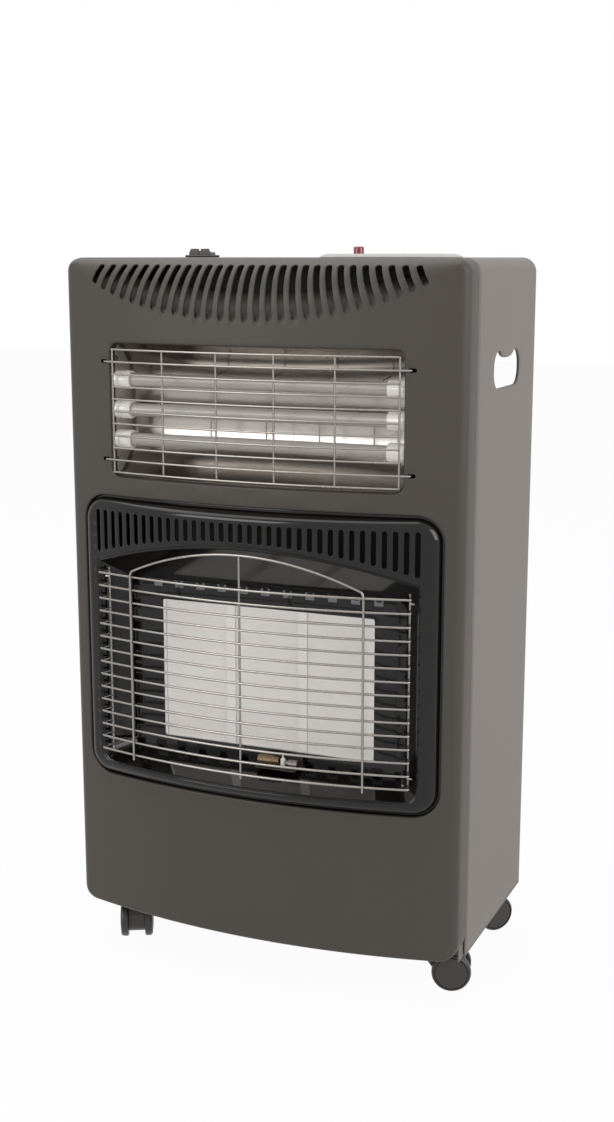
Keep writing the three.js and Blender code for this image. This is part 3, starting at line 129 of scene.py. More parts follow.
def finish(name, tone, rough, metal=0.0, grain=900, relief=0.01, mottle=0.05, cloud=16, stretch=(1, 1, 1),
           **sockets):
    """Surface with cloudy changes of tone, and a fine grain in its gloss and its relief (millimetres)."""
    made = bpy.data.materials.new(name)
    made.use_nodes = True
    tree = made.node_tree
    shader = tree.nodes["Principled BSDF"]
    shader.inputs["Metallic"].default_value = metal
    for socket, value in sockets.items():
        shader.inputs[socket.replace("_", " ")].default_value = value
    place = tree.nodes.new("ShaderNodeTexCoord")
    lay = tree.nodes.new("ShaderNodeMapping")
    lay.inputs["Scale"].default_value = stretch
    tree.links.new(place.outputs["Object"], lay.inputs["Vector"])
    noises = []
    for scale in (cloud, grain):
        noise = tree.nodes.new("ShaderNodeTexNoise")
        noise.inputs["Scale"].default_value = scale
        noise.inputs["Detail"].default_value = 3
        tree.links.new(lay.outputs[0], noise.inputs["Vector"])
        noises.append(noise.outputs[0])
    both = tree.nodes.new("ShaderNodeMath")
    both.operation = "ADD"
    tree.links.new(noises[0], both.inputs[0])
    tree.links.new(noises[1], both.inputs[1])
    ramp = tree.nodes.new("ShaderNodeValToRGB")
    for stop, spot, factor in ((0, 0.3, 1 - mottle), (1, 0.7, 1 + mottle)):
        ramp.color_ramp.elements[stop].position = spot
        ramp.color_ramp.elements[stop].color = (*[min(1, part * factor) for part in colour(*tone)[:3]], 1)
    half = tree.nodes.new("ShaderNodeMath")
    half.operation = "MULTIPLY"
    half.inputs[1].default_value = 0.5
    tree.links.new(both.outputs[0], half.inputs[0])
    tree.links.new(half.outputs[0], ramp.inputs["Fac"])
    tree.links.new(ramp.outputs["Color"], shader.inputs["Base Color"])
    gloss = tree.nodes.new("ShaderNodeMapRange")
    gloss.inputs["From Min"].default_value = 0.3
    gloss.inputs["From Max"].default_value = 0.7
    gloss.inputs["To Min"].default_value = max(0.02, rough * 0.88)
    gloss.inputs["To Max"].default_value = min(1, rough * 1.12)
    tree.links.new(noises[1], gloss.inputs["Value"])
    tree.links.new(gloss.outputs[0], shader.inputs["Roughness"])
    bump = tree.nodes.new("ShaderNodeBump")
    bump.inputs["Strength"].default_value = 1
    bump.inputs["Distance"].default_value = relief / 1000
    tree.links.new(noises[1], bump.inputs["Height"])
    tree.links.new(bump.outputs["Normal"], shader.inputs["Normal"])
    return made


def dress(node, coat):
    """New finish on a part that keeps the drawing's own shape."""
    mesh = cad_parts[node].data
    mesh.materials.clear()
    mesh.materials.append(coat)


# Painted shade: the base plate and the bulkhead are coloured dark so that the inside of the cabinet, seen
# through the louvres, looks dim.
dress("base_plate", finish("base_plate_painted_shade", (84, 79, 74), 0.55, mottle=0.08))
dress("bulkhead", finish("bulkhead_painted_shade", (50, 47, 44), 0.6, mottle=0.08))


# ---- Cabinet wrap: one sheet of steel folded over the left side, the top and the right side.
# Powder coated in a grey that reads lighter than the front; each side has a hand hole with a rounded tab.
def at(x, y, z):
    """Point from the drawing's millimetres, in which Y = 0 is at the cabinet's front corners."""
    return Vector((x, y + depth_shift, z)) / 1000


def piece(name, points, faces, crease=40):
    """Object with a smooth surface, sharp only where it folds by more than crease degrees."""
    mesh = bpy.data.meshes.new(name)
    mesh.from_pydata(points, [], faces)
    mesh.validate()
    mesh.update()
    mesh.shade_smooth()
    mesh.set_sharp_from_angle(angle=radians(crease))
    made = bpy.data.objects.new(name, mesh)
    bpy.context.collection.objects.link(made)
    return made


def pressed_sheet(name, form, grid, outlines, wall=1.0, clear=1.6):
    """Sheet laid over the flat pattern (u, v). The first outline is its edge, the others are holes. Each
    comes with the steps of its turned edge: (millimetres outwards, millimetres back), or a function."""
    corners, loops = [], []
    for index, (line, turned_edge) in enumerate(outlines):
        line = [Vector(spot) for spot in line]
        if sum(a.x * b.y - b.x * a.y for a, b in zip(line, line[1:] + line[:1])) < 0:
            line.reverse()
        loops.append((len(corners), len(line), 1 if index == 0 else -1, turned_edge))
        corners += line
    edges = [(first + i, first + (i + 1) % count) for first, count, _, _ in loops for i in range(count)]
    ends = np.array([(*corners[a], *corners[b]) for a, b in edges]).T

    def within(spots):
        x, y = spots[:, :1], spots[:, 1:]
        x0, y0, x1, y1 = ends
        reach = x0 + (y - y0) * (x1 - x0) / np.where(y1 == y0, 1, y1 - y0)
        return (((y0 > y) != (y1 > y)) & (x < reach)).sum(axis=1) % 2 == 1

    grid = np.array(grid)
    gap = np.min(np.hypot(grid[:, :1] - ends[0], grid[:, 1:] - ends[1]), axis=1)
    inner = [Vector(spot) for spot in grid[within(grid) & (gap > clear)]]
    flat, _, faces, sources, _, _ = delaunay_2d_cdt(corners + inner, edges, [], 0, 1e-4)
    middles = np.array([sum((flat[i] for i in face), Vector((0, 0))) / 3 for face in faces])
    faces = [tuple(face) for face, kept in zip(faces, within(middles)) if kept]
    home = {source: index for index, those in enumerate(sources) for source in those}
    points = [Vector(form(*spot)) for spot in flat]
    step = 0.2
    for first, count, side, turned_edge in loops:
        ring = [home[first + i] for i in range(count)]
        frames = []
        for i in range(count):
            here = corners[first + i]
            along = corners[first + (i + 1) % count] - corners[first + i - 1 + (count if i == 0 else 0)]
            out = Vector((along.y, -along.x)).normalized() * side * step
            spot = Vector(form(*here))
            over_u = Vector(form(here.x + step, here.y)) - Vector(form(here.x - step, here.y))
            over_v = Vector(form(here.x, here.y + step)) - Vector(form(here.x, here.y - step))
            facing = over_u.cross(over_v).normalized()
            away = Vector(form(*(here + out))) - Vector(form(*(here - out)))
            frames.append((spot, (away - facing * away.dot(facing)).normalized(), facing))
        for turn in turned_edge:
            new = []
            for spot, away, facing in frames:
                new.append(len(points))
                points.append(turn(spot, away, facing) if callable(turn)
                              else spot + away * turn[0] - facing * turn[1])
            for i in range(count):
                a, b = (i, (i + 1) % count) if side < 0 else ((i + 1) % count, i)
                faces.append((ring[a], ring[b], new[b], new[a]))
            ring = new
    made = piece(name, [at(*spot) for spot in points], faces)
    skin = made.modifiers.new("wall", "SOLIDIFY")
    skin.thickness = wall / 1000
    skin.offset = -1
    return made


def spread(low, high, pitch):
    """Even steps from low to high, both kept."""
    count = max(1, ceil((high - low) / pitch))
    return [low + (high - low) * i / count for i in range(count + 1)]


def around(us, vs):
    """Edge of a rectangle, with the given stations along its sides."""
    return [(u, vs[0]) for u in us[:-1]] + [(us[-1], v) for v in vs[:-1]] \
        + [(u, vs[-1]) for u in us[:0:-1]] + [(us[0], v) for v in vs[:0:-1]]


def rounded_box(x0, x1, z0, z1, corner, pitch=6.0, turns=8):
    """Outline of a rectangle with round corners."""
    line = []
    for x, z, start in ((x1 - corner, z0 + corner, -90), (x1 - corner, z1 - corner, 0),
                        (x0 + corner, z1 - corner, 90), (x0 + corner, z0 + corner, 180)):
        for i in range(turns + 1):
            angle = radians(start + 90 * i / turns)
            line.append((x + corner * cos(angle), z + corner * sin(angle)))
    filled = []
    for (ax, az), (bx, bz) in zip(line, line[1:] + line[:1]):
        steps = max(1, round(hypot(bx - ax, bz - az) / pitch))
        filled += [(ax + (bx - ax) * i / steps, az + (bz - az) * i / steps) for i in range(steps)]
    return filled


def rolled(radius, depth=0.0):
    """Steps of an edge turned back with this radius, then straight back to the depth."""
    steps = [(radius * sin(turn), radius * (1 - cos(turn))) for turn in (pi / 8, pi / 4, 3 * pi / 8, pi / 2)]
    return steps + ([(radius, depth)] if depth else [])


def round_hole(x, y, radius, **more):
    return rounded_box(x - radius, x + radius, y - radius, y + radius, radius - 0.1, **more)


half_width, top_z, back_y, side_low, bend = 210, 726.4, 229.1, 45.2, 15
depth_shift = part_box("cabinet_wrap")[1].y * 1000 - back_y
flat_top = half_width - bend
side_start = flat_top + bend * pi / 2
sheet_end = side_start + top_z - bend - side_low
rear_roll, rear_flange = 1.6, 13
fold_start = back_y - rear_roll


def wrap_form(s, v):
    reach = abs(s)
    turn = min(max(reach - flat_top, 0) / bend, pi / 2)
    x = copysign(min(reach, flat_top) + bend * sin(turn), s)
    z = top_z - bend * (1 - cos(turn)) - max(reach - side_start, 0)
    fold = min(max(v - fold_start, 0) / rear_roll, pi / 2)
    inward = rear_roll * (1 - cos(fold)) + max(v - fold_start - rear_roll * pi / 2, 0)
    y = min(v, fold_start) + rear_roll * sin(fold)
    return x - copysign(sin(turn), s) * inward, y, z - cos(turn) * inward


wrap_front = 26.2
across = spread(-sheet_end, -side_start, 12)[:-1] + spread(-side_start, -flat_top, 2)[:-1] \
    + spread(-flat_top, flat_top, 12)[:-1] + spread(flat_top, side_start, 2)[:-1] \
    + spread(side_start, sheet_end, 12)
deep = spread(wrap_front, fold_start, 10) + [fold_start + rear_roll * pi / 8 * i for i in (1, 2, 3, 4)] \
    + [fold_start + rear_roll * pi / 2 + rear_flange]
hand_y, hand_z, hand_half, hand_rise, hand_corner = 127, 620, 46, 19, 17
tab_half, tab_drop = 23, 7
hand_s = side_start + top_z - bend - hand_z
hand_hole = []
for y, z in rounded_box(hand_y - hand_half, hand_y + hand_half, -hand_rise, hand_rise, hand_corner, pitch=2):
    tab = 1 - ((y - hand_y) / tab_half) ** 2
    hand_hole.append((hand_s + z + (tab_drop * sqrt(tab) if z < -hand_rise + 0.1 and tab > 0 else 0), y))
holes = [([(side * s, y) for s, y in hand_hole], rolled(1.2, 3)) for side in (1, -1)]
switch_x, switch_y, well_x, button_x, control_y = -107.5, 98, 122, 62, 105
holes.append((rounded_box(switch_x - 13.7, switch_x + 13.7, switch_y - 9.7, switch_y + 9.7, 1), rolled(0.4)))
holes.append((round_hole(well_x, control_y, 24.7), rolled(0.3)))
holes.append((round_hole(button_x, control_y, 9, turns=4), rolled(0.3)))
wrap = pressed_sheet("folded_wrap", wrap_form, [(s, v) for s in across for v in deep],
                     [(around(across, deep), [])] + holes)


tongue_inset = 1.9


def tucked(s, v):
    """Place on the tongue that reaches from the wrap to behind the front panel."""
    turn = min(max(abs(s) - flat_top, 0) / bend, pi / 2)
    x, y, z = wrap_form(s, v)
    return x - copysign(sin(turn), s) * tongue_inset, y, z - cos(turn) * tongue_inset


tongue_rows = spread(12, 32, 5)
tongue = pressed_sheet("seam_tongue", tucked, [(s, v) for s in across for v in tongue_rows],
                       [(around(across, tongue_rows), [])])
grey_coat = finish("grey_powder_coat", (114, 107, 101), 0.5, grain=1500, relief=0.012, mottle=0.05,
                   cloud=7, Specular_IOR_Level=0.35)
for part in (wrap, tongue):
    part.data.materials.append(grey_coat)
    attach(part, "cabinet")
    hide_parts("cabinet_wrap")


# ---- Front panel: one pressing in charcoal powder coat, bowed from side to side, with a rolled shoulder.
# Louvres with a beaded edge fan over the shoulder, with a baffle behind; other openings are turned back.
charcoal_coat = finish("charcoal_powder_coat", (67, 62, 57), 0.46, grain=1500, relief=0.014, mottle=0.05,
                       cloud=7, Specular_IOR_Level=0.35)
edge_round, lower_corner, lower_round = 8, 18, 4
panel_low, seam_y, shoulder_back, shoulder_end = 50, 24.6, 8, 745
bow_ends, bow_depth = 2, 29
shoulder_low, shoulder_rise, shoulder_reach = 676.4, 28, 165


def bow(x):
    return -bow_ends - bow_depth * (1 - (x / half_width) ** 2)


def corner_drop(x, radius):
    past = max(0, abs(x) - (half_width - radius))
    return radius - sqrt(max(0, radius * radius - past * past))


def shoulder_start(x):
    return min(shoulder_low + shoulder_rise * (x / shoulder_reach) ** 2, top_z - corner_drop(x, bend) - 6)


def panel_form(u, v):
    turn = min(max(abs(u) - (half_width - edge_round), 0) / edge_round, pi / 2)
    x = copysign(min(abs(u), half_width - edge_round) + edge_round * sin(turn), u)
    y = bow(x) + edge_round * (1 - cos(turn))
    low = panel_low + corner_drop(x, lower_corner) + lower_round
    start = shoulder_start(x)
    if v < panel_low + lower_round:
        curl = (panel_low + lower_round - v) / lower_round
        return x, y + lower_round * (1 - cos(curl)), low - lower_round * sin(curl)
    if v < start:
        return x, y, low + (v - panel_low - lower_round) * (start - low) / (start - panel_low - lower_round)
    curl = pi / 2 * (v - start) / (shoulder_end - start)
    rise = top_z - corner_drop(x, bend) - start
    return x, y + (shoulder_back - y) * (1 - cos(curl)), start + rise * sin(curl)


def on_shoulder(x, z):
    """Pattern place of the point seen at x and z from the front."""
    start = shoulder_start(x)
    if z <= start:
        return x, z
    return x, start + asin((z - start) / (top_z - start)) / (pi / 2) * (shoulder_end - start)


louvres_a_side, louvre_pitch, louvre_fan, louvre_lean = 14, 10.8, 11, 0.0031
louvre_half, below_top, below_shoulder, outer_shorter = 4.0, 4.6, 9.5, 7


def louvre(index):
    """Slot that leans outwards on its way down. The outer ones are shorter and further apart."""
    outwards = index / louvres_a_side
    top_x = louvre_pitch * index + louvre_fan * outwards ** 3
    high = top_z - below_top
    low = shoulder_start(top_x) - below_shoulder + outer_shorter * abs(outwards) ** 3
    half = louvre_half
    line = []
    for z in spread(low + half, high - half, 4):
        line.append(on_shoulder(top_x * (1 + louvre_lean * (high - z)), z))
    turns = [radians(180 * i / 6) for i in range(1, 6)]
    (bottom_u, bottom_v), (upper_u, upper_v) = line[0], line[-1]
    right, left = [(u + half, v) for u, v in line], [(u - half, v) for u, v in line[::-1]]
    upper_end = [(upper_u + half * cos(a), upper_v + half * sin(a)) for a in turns]
    lower_end = [(bottom_u - half * cos(a), bottom_v - half * sin(a)) for a in turns]
    return right + upper_end + left + lower_end


def beaded(left_out, left_up, right_out, back):
    """Step of a louvre's edge: a raised bead on its left, a plain turned edge on its right."""
    def step(spot, away, facing):
        left = max(0, away.x)
        return spot + away * (right_out + (left_out - right_out) * left) + facing * (left_up * left - back)
    return step


baffle_near, baffle_deeper = 1.5, 24


def baffle_form(u, rise):
    """Place behind the louvres, close to their lower ends and deeper further up."""
    x, y, z = panel_form(u, shoulder_start(u) + rise)
    depth = baffle_near + baffle_deeper * max(0, (rise + 9) / 34) ** 1.2
    return x, y + depth, z - 0.35 * depth


side_u = half_width - edge_round + edge_round * pi / 2
us = spread(-side_u, -190, 1.6)[:-1] + spread(-190, 190, 5.4)[:-1] + spread(190, side_u, 1.6)
vs = spread(panel_low + lower_round - lower_round * pi / 2, panel_low + lower_round, 1.3)[:-1] \
    + spread(panel_low + lower_round, 670, 7)[:-1] + spread(670, shoulder_end, 3.5)
outlines = [(around(us, vs), [lambda spot, away, facing: Vector((spot.x, seam_y - 1, spot.z)),
                              lambda spot, away, facing: Vector((spot.x, seam_y, spot.z))])]
window_half, recess_half = 156, 193.7
outlines.append((rounded_box(-window_half, window_half, 510.3, 646.2, 11, pitch=5), rolled(2, 8)))
outlines.append((rounded_box(-recess_half, recess_half, 196.1, 494.1, 28, pitch=5), rolled(2, 4)))
bead = [beaded(0.35, 0.5, 0.15, 0.05), beaded(0.8, 0.75, 0.3, 0.2), beaded(1.2, 0.55, 0.4, 0.5),
        beaded(1.3, 0.2, 0.4, 0.9), beaded(1.3, 0, 0.4, 1.4)]
outlines += [(louvre(i), bead) for i in range(-louvres_a_side, louvres_a_side + 1)]
hook_x, hook_half, hook_rise = 161, 4.3, 2.2
for x in (-hook_x, hook_x):
    for z in (529.1, 625.9):
        hook_hole = rounded_box(x - hook_half, x + hook_half, z - hook_rise, z + hook_rise, 2.1, turns=4)
        outlines.append((hook_hole, rolled(0.3)))
panel = pressed_sheet("pressed_front", panel_form, [(u, v) for u in us for v in vs], outlines)
baffle_us, rises = spread(-178, 178, 6), spread(-13, 24, 3)
baffle = pressed_sheet("louvre_baffle", baffle_form, [(u, rise) for u in baffle_us for rise in rises],
                       [(around(baffle_us, rises), [])])
for part in (panel, baffle):
    part.data.materials.append(charcoal_coat)
    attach(part, "cabinet")
    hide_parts("front_panel")


# ---- Enamel surround and firebox liner: pressed steel in gloss black vitreous enamel.
# The surround is clamped behind the panel's recess; the liner funnels back from it to the burner.
black_enamel = finish("gloss_black_enamel", (18, 16, 15), 0.1, grain=70, relief=0.012, mottle=0.1, cloud=9,
                      Specular_IOR_Level=0.35)
rim, enamel_corner = 12, 11.6
enamel_half, enamel_low, enamel_high = 177.3, 212.5, 480.7
enamel_front, enamel_curve, behind_panel = -43, 1156, 4.3
mouth_half, mouth_low, mouth_side, mouth_corner, mouth_arch = 172, 214, 425, 14, 29.3


def enamel_face(x):
    return enamel_front + x * x / enamel_curve


def enamel_form(x, z):
    return x, enamel_face(x), z


def rim_step(turn, flange=0.0):
    """Point of the rounded rim, which ends just behind the panel and is tighter over the slots."""
    def step(spot, away, facing):
        radius = rim - 3 * min(1, max(0, (spot.z - 469) / 11.7))
        out = spot + Vector((away.x, 0, away.z)).normalized() * (radius * sin(turn) + flange)
        face_y = enamel_face(spot.x)
        out.y = face_y + (bow(out.x) + behind_panel - face_y) * (1 - cos(turn))
        return out
    return step


def burner_opening(grow=0.0, pitch=5.0):
    """Outline of the mouth: round lower corners, straight sides and an arched top."""
    half, low, side, corner = mouth_half + grow, mouth_low - grow, mouth_side + grow, mouth_corner + grow
    line = [(x, low) for x in spread(-half + corner, half - corner, pitch)]
    line += [(half - corner + corner * sin(a), low + corner - corner * cos(a))
             for a in (radians(90 * i / 8) for i in range(1, 9))]
    line += [(half, z) for z in spread(low + corner, side, pitch)[1:]]
    line += [(-x, side + mouth_arch * (1 - (x / half) ** 2)) for x in spread(-half, half, pitch)[1:]]
    line += [(-half, z) for z in spread(low + corner, side, pitch)[-2::-1]]
    line += [(-half + corner - corner * cos(a), low + corner - corner * sin(a))
             for a in (radians(90 * i / 8) for i in range(1, 8))]
    return line


slots_a_side, slot_pitch, slot_half, slot_top, slot_foot = 17, 10, 2.7, 478.5, 459.3


def slot(index):
    """Upright slot whose foot follows the arch below it."""
    x, half = slot_pitch * index, slot_half
    high, low = slot_top - half, slot_foot - mouth_arch * (x / mouth_half) ** 2 * 0.86 + half
    turns = [radians(30 * i) for i in range(1, 6)]
    heights = spread(low, high, 4)
    line = [(x + half, z) for z in heights] + [(x + half * cos(a), high + half * sin(a)) for a in turns]
    line += [(x - half, z) for z in heights[::-1]]
    return line + [(x - half * cos(a), low - half * sin(a)) for a in turns]


grid = [(x, z) for x in spread(-enamel_half, enamel_half, 5) for z in spread(enamel_low, enamel_high, 6)]
turns = [radians(angle) for angle in (12, 24, 36, 48, 60, 75, 90)]
edge = rounded_box(-enamel_half, enamel_half, enamel_low, enamel_high, enamel_corner, pitch=4, turns=10)
outlines = [(edge, [rim_step(turn) for turn in turns] + [rim_step(pi / 2, 9.4)])]
outlines.append((burner_opening(2.5), rolled(2.5, 3.4)))
slot_edge = [(0.25, 0.08), (0.5, 0.5), (0.5, 1.2)]
outlines += [(slot(i), slot_edge) for i in range(-slots_a_side, slots_a_side + 1)]
surround = pressed_sheet("enamel_pressing", enamel_form, grid, outlines)

mouth = burner_opening(1, pitch=4)
funnel_half, funnel_low, funnel_side = mouth_half + 1, mouth_low - 1, mouth_side + 1
rear_half, rear_y, rear_low, rear_height = 150, 13.95, 222, 183
levels = (0, 0.06, 0.15, 0.3, 0.45, 0.6, 0.75, 0.88, 0.96, 1)
points, faces = [], []
for level in levels:
    for x, z in mouth:
        arch = funnel_side + mouth_arch * (1 - (x / funnel_half) ** 2)
        height = (z - funnel_low) / (arch - funnel_low)
        front = Vector((x, enamel_face(x) + 1.6, z))
        rear = Vector((x / funnel_half * rear_half, rear_y, rear_low + height * rear_height))
        curve = level ** 0.85
        spot = front.lerp(rear, level)
        spot.x += (rear.x - spot.x) * (curve - level) * 0.6
        points.append(at(*spot))
count = len(mouth)
for row in range(len(levels) - 1):
    for i in range(count):
        a, b = row * count + i, row * count + (i + 1) % count
        faces.append((b, a, a + count, b + count))
funnel = piece("firebox_funnel", points, faces)
skin = funnel.modifiers.new("wall", "SOLIDIFY")
skin.thickness = 0.001
skin.offset = -1
back = pressed_sheet("firebox_back", lambda x, z: (x, 14, z),
                     [(x, z) for x in spread(-150, 150, 12) for z in spread(222, 405, 12)],
                     [(rounded_box(-152, 152, 220, 407, 15, pitch=8), []),
                      (rounded_box(-116.6, 116.6, 237.9, 384.1, 3, pitch=8), rolled(0.6, 1))], wall=0.9)
for part, node in ((surround, "enamel_surround"), (funnel, "firebox_liner"), (back, "firebox_liner")):
    part.data.materials.append(black_enamel)
    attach(part, "cabinet")
    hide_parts(node)


# ---- Ceramic burner: three white plaques, pierced by staggered rows of fine holes, in a steel frame.
# Behind them a welded plenum, three mixing tubes and the brass manifold with its injectors.
ceramic = finish("pierced_white_ceramic", (250, 246, 242), 0.85, grain=2500, relief=0.02, mottle=0.025,
                 cloud=40)
hole_pitch, row_pitch, hole_radius, hole_depth, plain_edge = 2.3, 2.0, 0.54, 1.6, 1.6
plaque_low, plaque_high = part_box("ceramic_plaque_1")
plaque_half_x = (plaque_high.x - plaque_low.x) * 500
plaque_half_z = (plaque_high.z - plaque_low.z) * 500
waist = (row_pitch ** 2 - hole_pitch ** 2 / 4) / (2 * row_pitch)
cell = [(hole_pitch / 2, waist), (0, row_pitch - waist), (-hole_pitch / 2, waist),
        (-hole_pitch / 2, -waist), (0, waist - row_pitch), (hole_pitch / 2, -waist)]
points, faces, corner_of = [], [], {}


def shared(x, y, z):
    """Index of the point, made once for the cells that meet there."""
    key = (round(x, 3), round(y, 3), round(z, 3))
    if key not in corner_of:
        corner_of[key] = len(points)
        points.append(key)
    return corner_of[key]


rows = ceil(plaque_half_z / row_pitch) + 1
columns = ceil(plaque_half_x / hole_pitch) + 1
for row in range(-rows, rows + 1):
    for column in range(-columns, columns + 1):
        x, z = (column + (row % 2) / 2) * hole_pitch, row * row_pitch
        rim_line = [(min(max(x + a, -plaque_half_x), plaque_half_x),
                     min(max(z + b, -plaque_half_z), plaque_half_z)) for a, b in cell]
        outer = [shared(a, 0, b) for a, b in rim_line]
        if len(set(outer)) < 3:
            continue
        if abs(x) > plaque_half_x - plain_edge or abs(z) > plaque_half_z - plain_edge:
            faces.append(tuple(dict.fromkeys(outer)))
            continue
        hole = [(x + hole_radius * cos(a), z + hole_radius * sin(a))
                for a in (radians(60 * i + 30) for i in range(6))]
        front = [shared(a, 0, b) for a, b in hole]
        deep_ring = [shared(a, hole_depth, b) for a, b in hole]
        for i in range(6):
            j = (i + 1) % 6
            faces.append((outer[i], outer[j], front[j], front[i]))
            faces.append((front[i], front[j], deep_ring[j], deep_ring[i]))
        faces.append(tuple(deep_ring))
edge_points = sorted({index for index, (x, y, z) in enumerate(points)
                      if y == 0 and min(abs(abs(x) - plaque_half_x), abs(abs(z) - plaque_half_z)) < 1e-3},
                     key=lambda index: atan2(points[index][2], points[index][0]))
thick = (plaque_high.y - plaque_low.y) * 1000
rear = []
for index in edge_points:
    rear.append(len(points))
    points.append((points[index][0], thick, points[index][2]))
for i in range(len(edge_points)):
    j = (i + 1) % len(edge_points)
    faces.append((edge_points[j], edge_points[i], rear[i], rear[j]))
faces.append(tuple(reversed(rear)))
for number in (1, 2, 3):
    low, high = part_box(f"ceramic_plaque_{number}")
    corner = Vector(((low.x + high.x) / 2, low.y, (low.z + high.z) / 2))
    mesh = bpy.data.meshes.new(f"pierced_plaque_{number}")
    mesh.from_pydata([corner + Vector(spot) / 1000 for spot in points], [], faces)
    mesh.validate()
    mesh.update()
    mesh.materials.append(ceramic)
    plaque = bpy.data.objects.new(f"pierced_plaque_{number}", mesh)
    bpy.context.collection.objects.link(plaque)
    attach(plaque, "cabinet")
    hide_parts(f"ceramic_plaque_{number}")

dress("plaque_frame", finish("bright_steel_sheet", (226, 223, 219), 0.34, metal=0.55, grain=700,
                             relief=0.003, mottle=0.04, stretch=(1, 1, 6)))
burner_steel = finish("aluminised_steel", (172, 169, 164), 0.4, metal=0.85, grain=400, relief=0.004,
                      mottle=0.08, cloud=35)
brass = finish("machined_brass", (196, 160, 92), 0.28, metal=1, grain=300, relief=0.003, mottle=0.07,
               stretch=(1, 1, 8))
for node in ("burner_plenum", "mixing_tube_1", "mixing_tube_2", "mixing_tube_3"):
    dress(node, burner_steel)
dress("injector_manifold", brass)


# ---- Pilot unit, on a small bracket under the plaques.
# Brass burner head and nickel thermocouple tip, dulled by the heat, with a white spark electrode between.
dress("pilot_bracket", finish("scaled_bracket", (70, 66, 62), 0.5, metal=0.6, grain=500, mottle=0.15))
dress("pilot_burner", finish("tarnished_brass", (118, 101, 76), 0.45, metal=0.9, grain=300, relief=0.006,
                             mottle=0.15))
glazed = finish("glazed_porcelain", (240, 236, 230), 0.2, relief=0.003, mottle=0.02, Coat_Weight=0.4)
dress("pilot_electrode", glazed)
dress("thermocouple", finish("dulled_nickel", (128, 121, 116), 0.4, metal=0.9, grain=600, relief=0.004,
                             mottle=0.1))


# ---- Lower guard: bright round wire, spot welded, standing on the firebox walls.
# Fifteen bowed wires turn back at their ends to an upright post with a leg at its foot.
# A centre wire and an arched wire cross them.
def softened(run, trim):
    """The run with each inner corner bent round, from trim before it to trim after it."""
    run = [Vector(spot) for spot in run]
    line = [run[0]]
    for before, corner, after in zip(run, run[1:], run[2:]):
        a = corner + (before - corner).normalized() * min(trim, (before - corner).length * 0.49)
        b = corner + (after - corner).normalized() * min(trim, (after - corner).length * 0.49)
        line += [a * (1 - t) ** 2 + corner * 2 * t * (1 - t) + b * t ** 2
                 for t in (0, 0.2, 0.4, 0.6, 0.8, 1)]
    return line + [run[-1]]


def wirework(name, runs, radius):
    line = bpy.data.curves.new(name, "CURVE")
    line.dimensions = "3D"
    line.bevel_depth = radius / 1000
    line.bevel_resolution = 3
    line.use_fill_caps = True
    for run in runs:
        spline = line.splines.new("POLY")
        spline.points.add(len(run) - 1)
        spline.use_smooth = True
        for point, spot in zip(spline.points, run):
            point.co = (*at(*spot), 1)
    made = bpy.data.objects.new(name, line)
    bpy.context.collection.objects.link(made)
    return made


guard_front, guard_curve, guard_wires = -48, 1268, 15
guard_half, guard_low, guard_pitch, wire = 167, 230.5, 13.2, 1.2


def guard_bow(x):
    return guard_front + x * x / guard_curve


guard_top = guard_low + (guard_wires - 1) * guard_pitch
upright_foot, end_y = guard_low - 5, guard_bow(guard_half)
post_x, post_y = guard_half - 5.5, end_y + 13
runs = []
for i in range(guard_wires):
    z = guard_low + i * guard_pitch
    run = [(x, guard_bow(x), z) for x in spread(-guard_half, guard_half, 9)]
    runs.append(softened([(-post_x, post_y, z), *run[:2]], 3.5)[:-1] + run[1:-1]
                + softened([*run[-2:], (post_x, post_y, z)], 3.5)[1:])
for side in (-1, 1):
    runs.append([(side * post_x, post_y, upright_foot), (side * post_x, post_y, guard_top + 3)])
    for z in (guard_low + guard_pitch / 2, guard_top - guard_pitch / 2):
        runs.append([(side * post_x, post_y, z), (side * (post_x + 4.5), post_y, z)])
    runs.append([(side * 160, -24, 233), (side * 147, 12, 233)])
centre_y, arch_top, arch_low, arch_half = guard_bow(0) + 1.8, 449, 420.5, 124
runs.append([(0, centre_y, upright_foot), (0, centre_y, arch_top)])
arch = [(x, guard_bow(x) - 1.5, arch_low + (arch_top - arch_low) * (1 - (x / arch_half) ** 2))
        for x in spread(-arch_half, arch_half, 6)]
arch_y = arch[0][1]
runs.append([(-arch_half, arch_y, upright_foot),
             *softened([(-arch_half, arch_y, 400), arch[0], arch[1]], 8)[:-1], *arch[1:-1],
             *softened([arch[-2], arch[-1], (arch_half, arch_y, 400)], 8)[1:],
             (arch_half, arch_y, upright_foot)])
guard = wirework("lower_guard_wires", runs, wire)
bright_wire = finish("bright_wire", (150, 145, 140), 0.26, metal=1, grain=1200, relief=0.002, mottle=0.04)
guard.data.materials.append(bright_wire)
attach(guard, "cabinet")
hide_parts("lower_guard")


# ---- Electric unit: a mirror trough behind three satin quartz tubes, each held in two white ceramic caps.
# The caps' pins stand in holes of the two end plates, which are screwed on.
# Thin wires between the trough and the tubes keep them from sagging.
def turned(name, profile, place, segments=48):
    """Turned piece. The profile lists (radius, height); place(a, b, height) sets it in the drawing."""
    points, faces, rings = [], [], []
    turns = [2 * pi * i / segments for i in range(segments)]
    for radius, height in profile:
        if radius == 0:
            rings.append([len(points)] * segments)
            points.append(at(*place(0, 0, height)))
            continue
        rings.append([len(points) + i for i in range(segments)])
        points += [at(*place(radius * cos(turn), radius * sin(turn), height)) for turn in turns]
    for low, high in zip(rings, rings[1:]):
        for i in range(segments):
            j = (i + 1) % segments
            face = tuple(dict.fromkeys((low[i], low[j], high[j], high[i])))
            if len(face) > 2:
                faces.append(face)
    return piece(name, points, faces, crease=32)


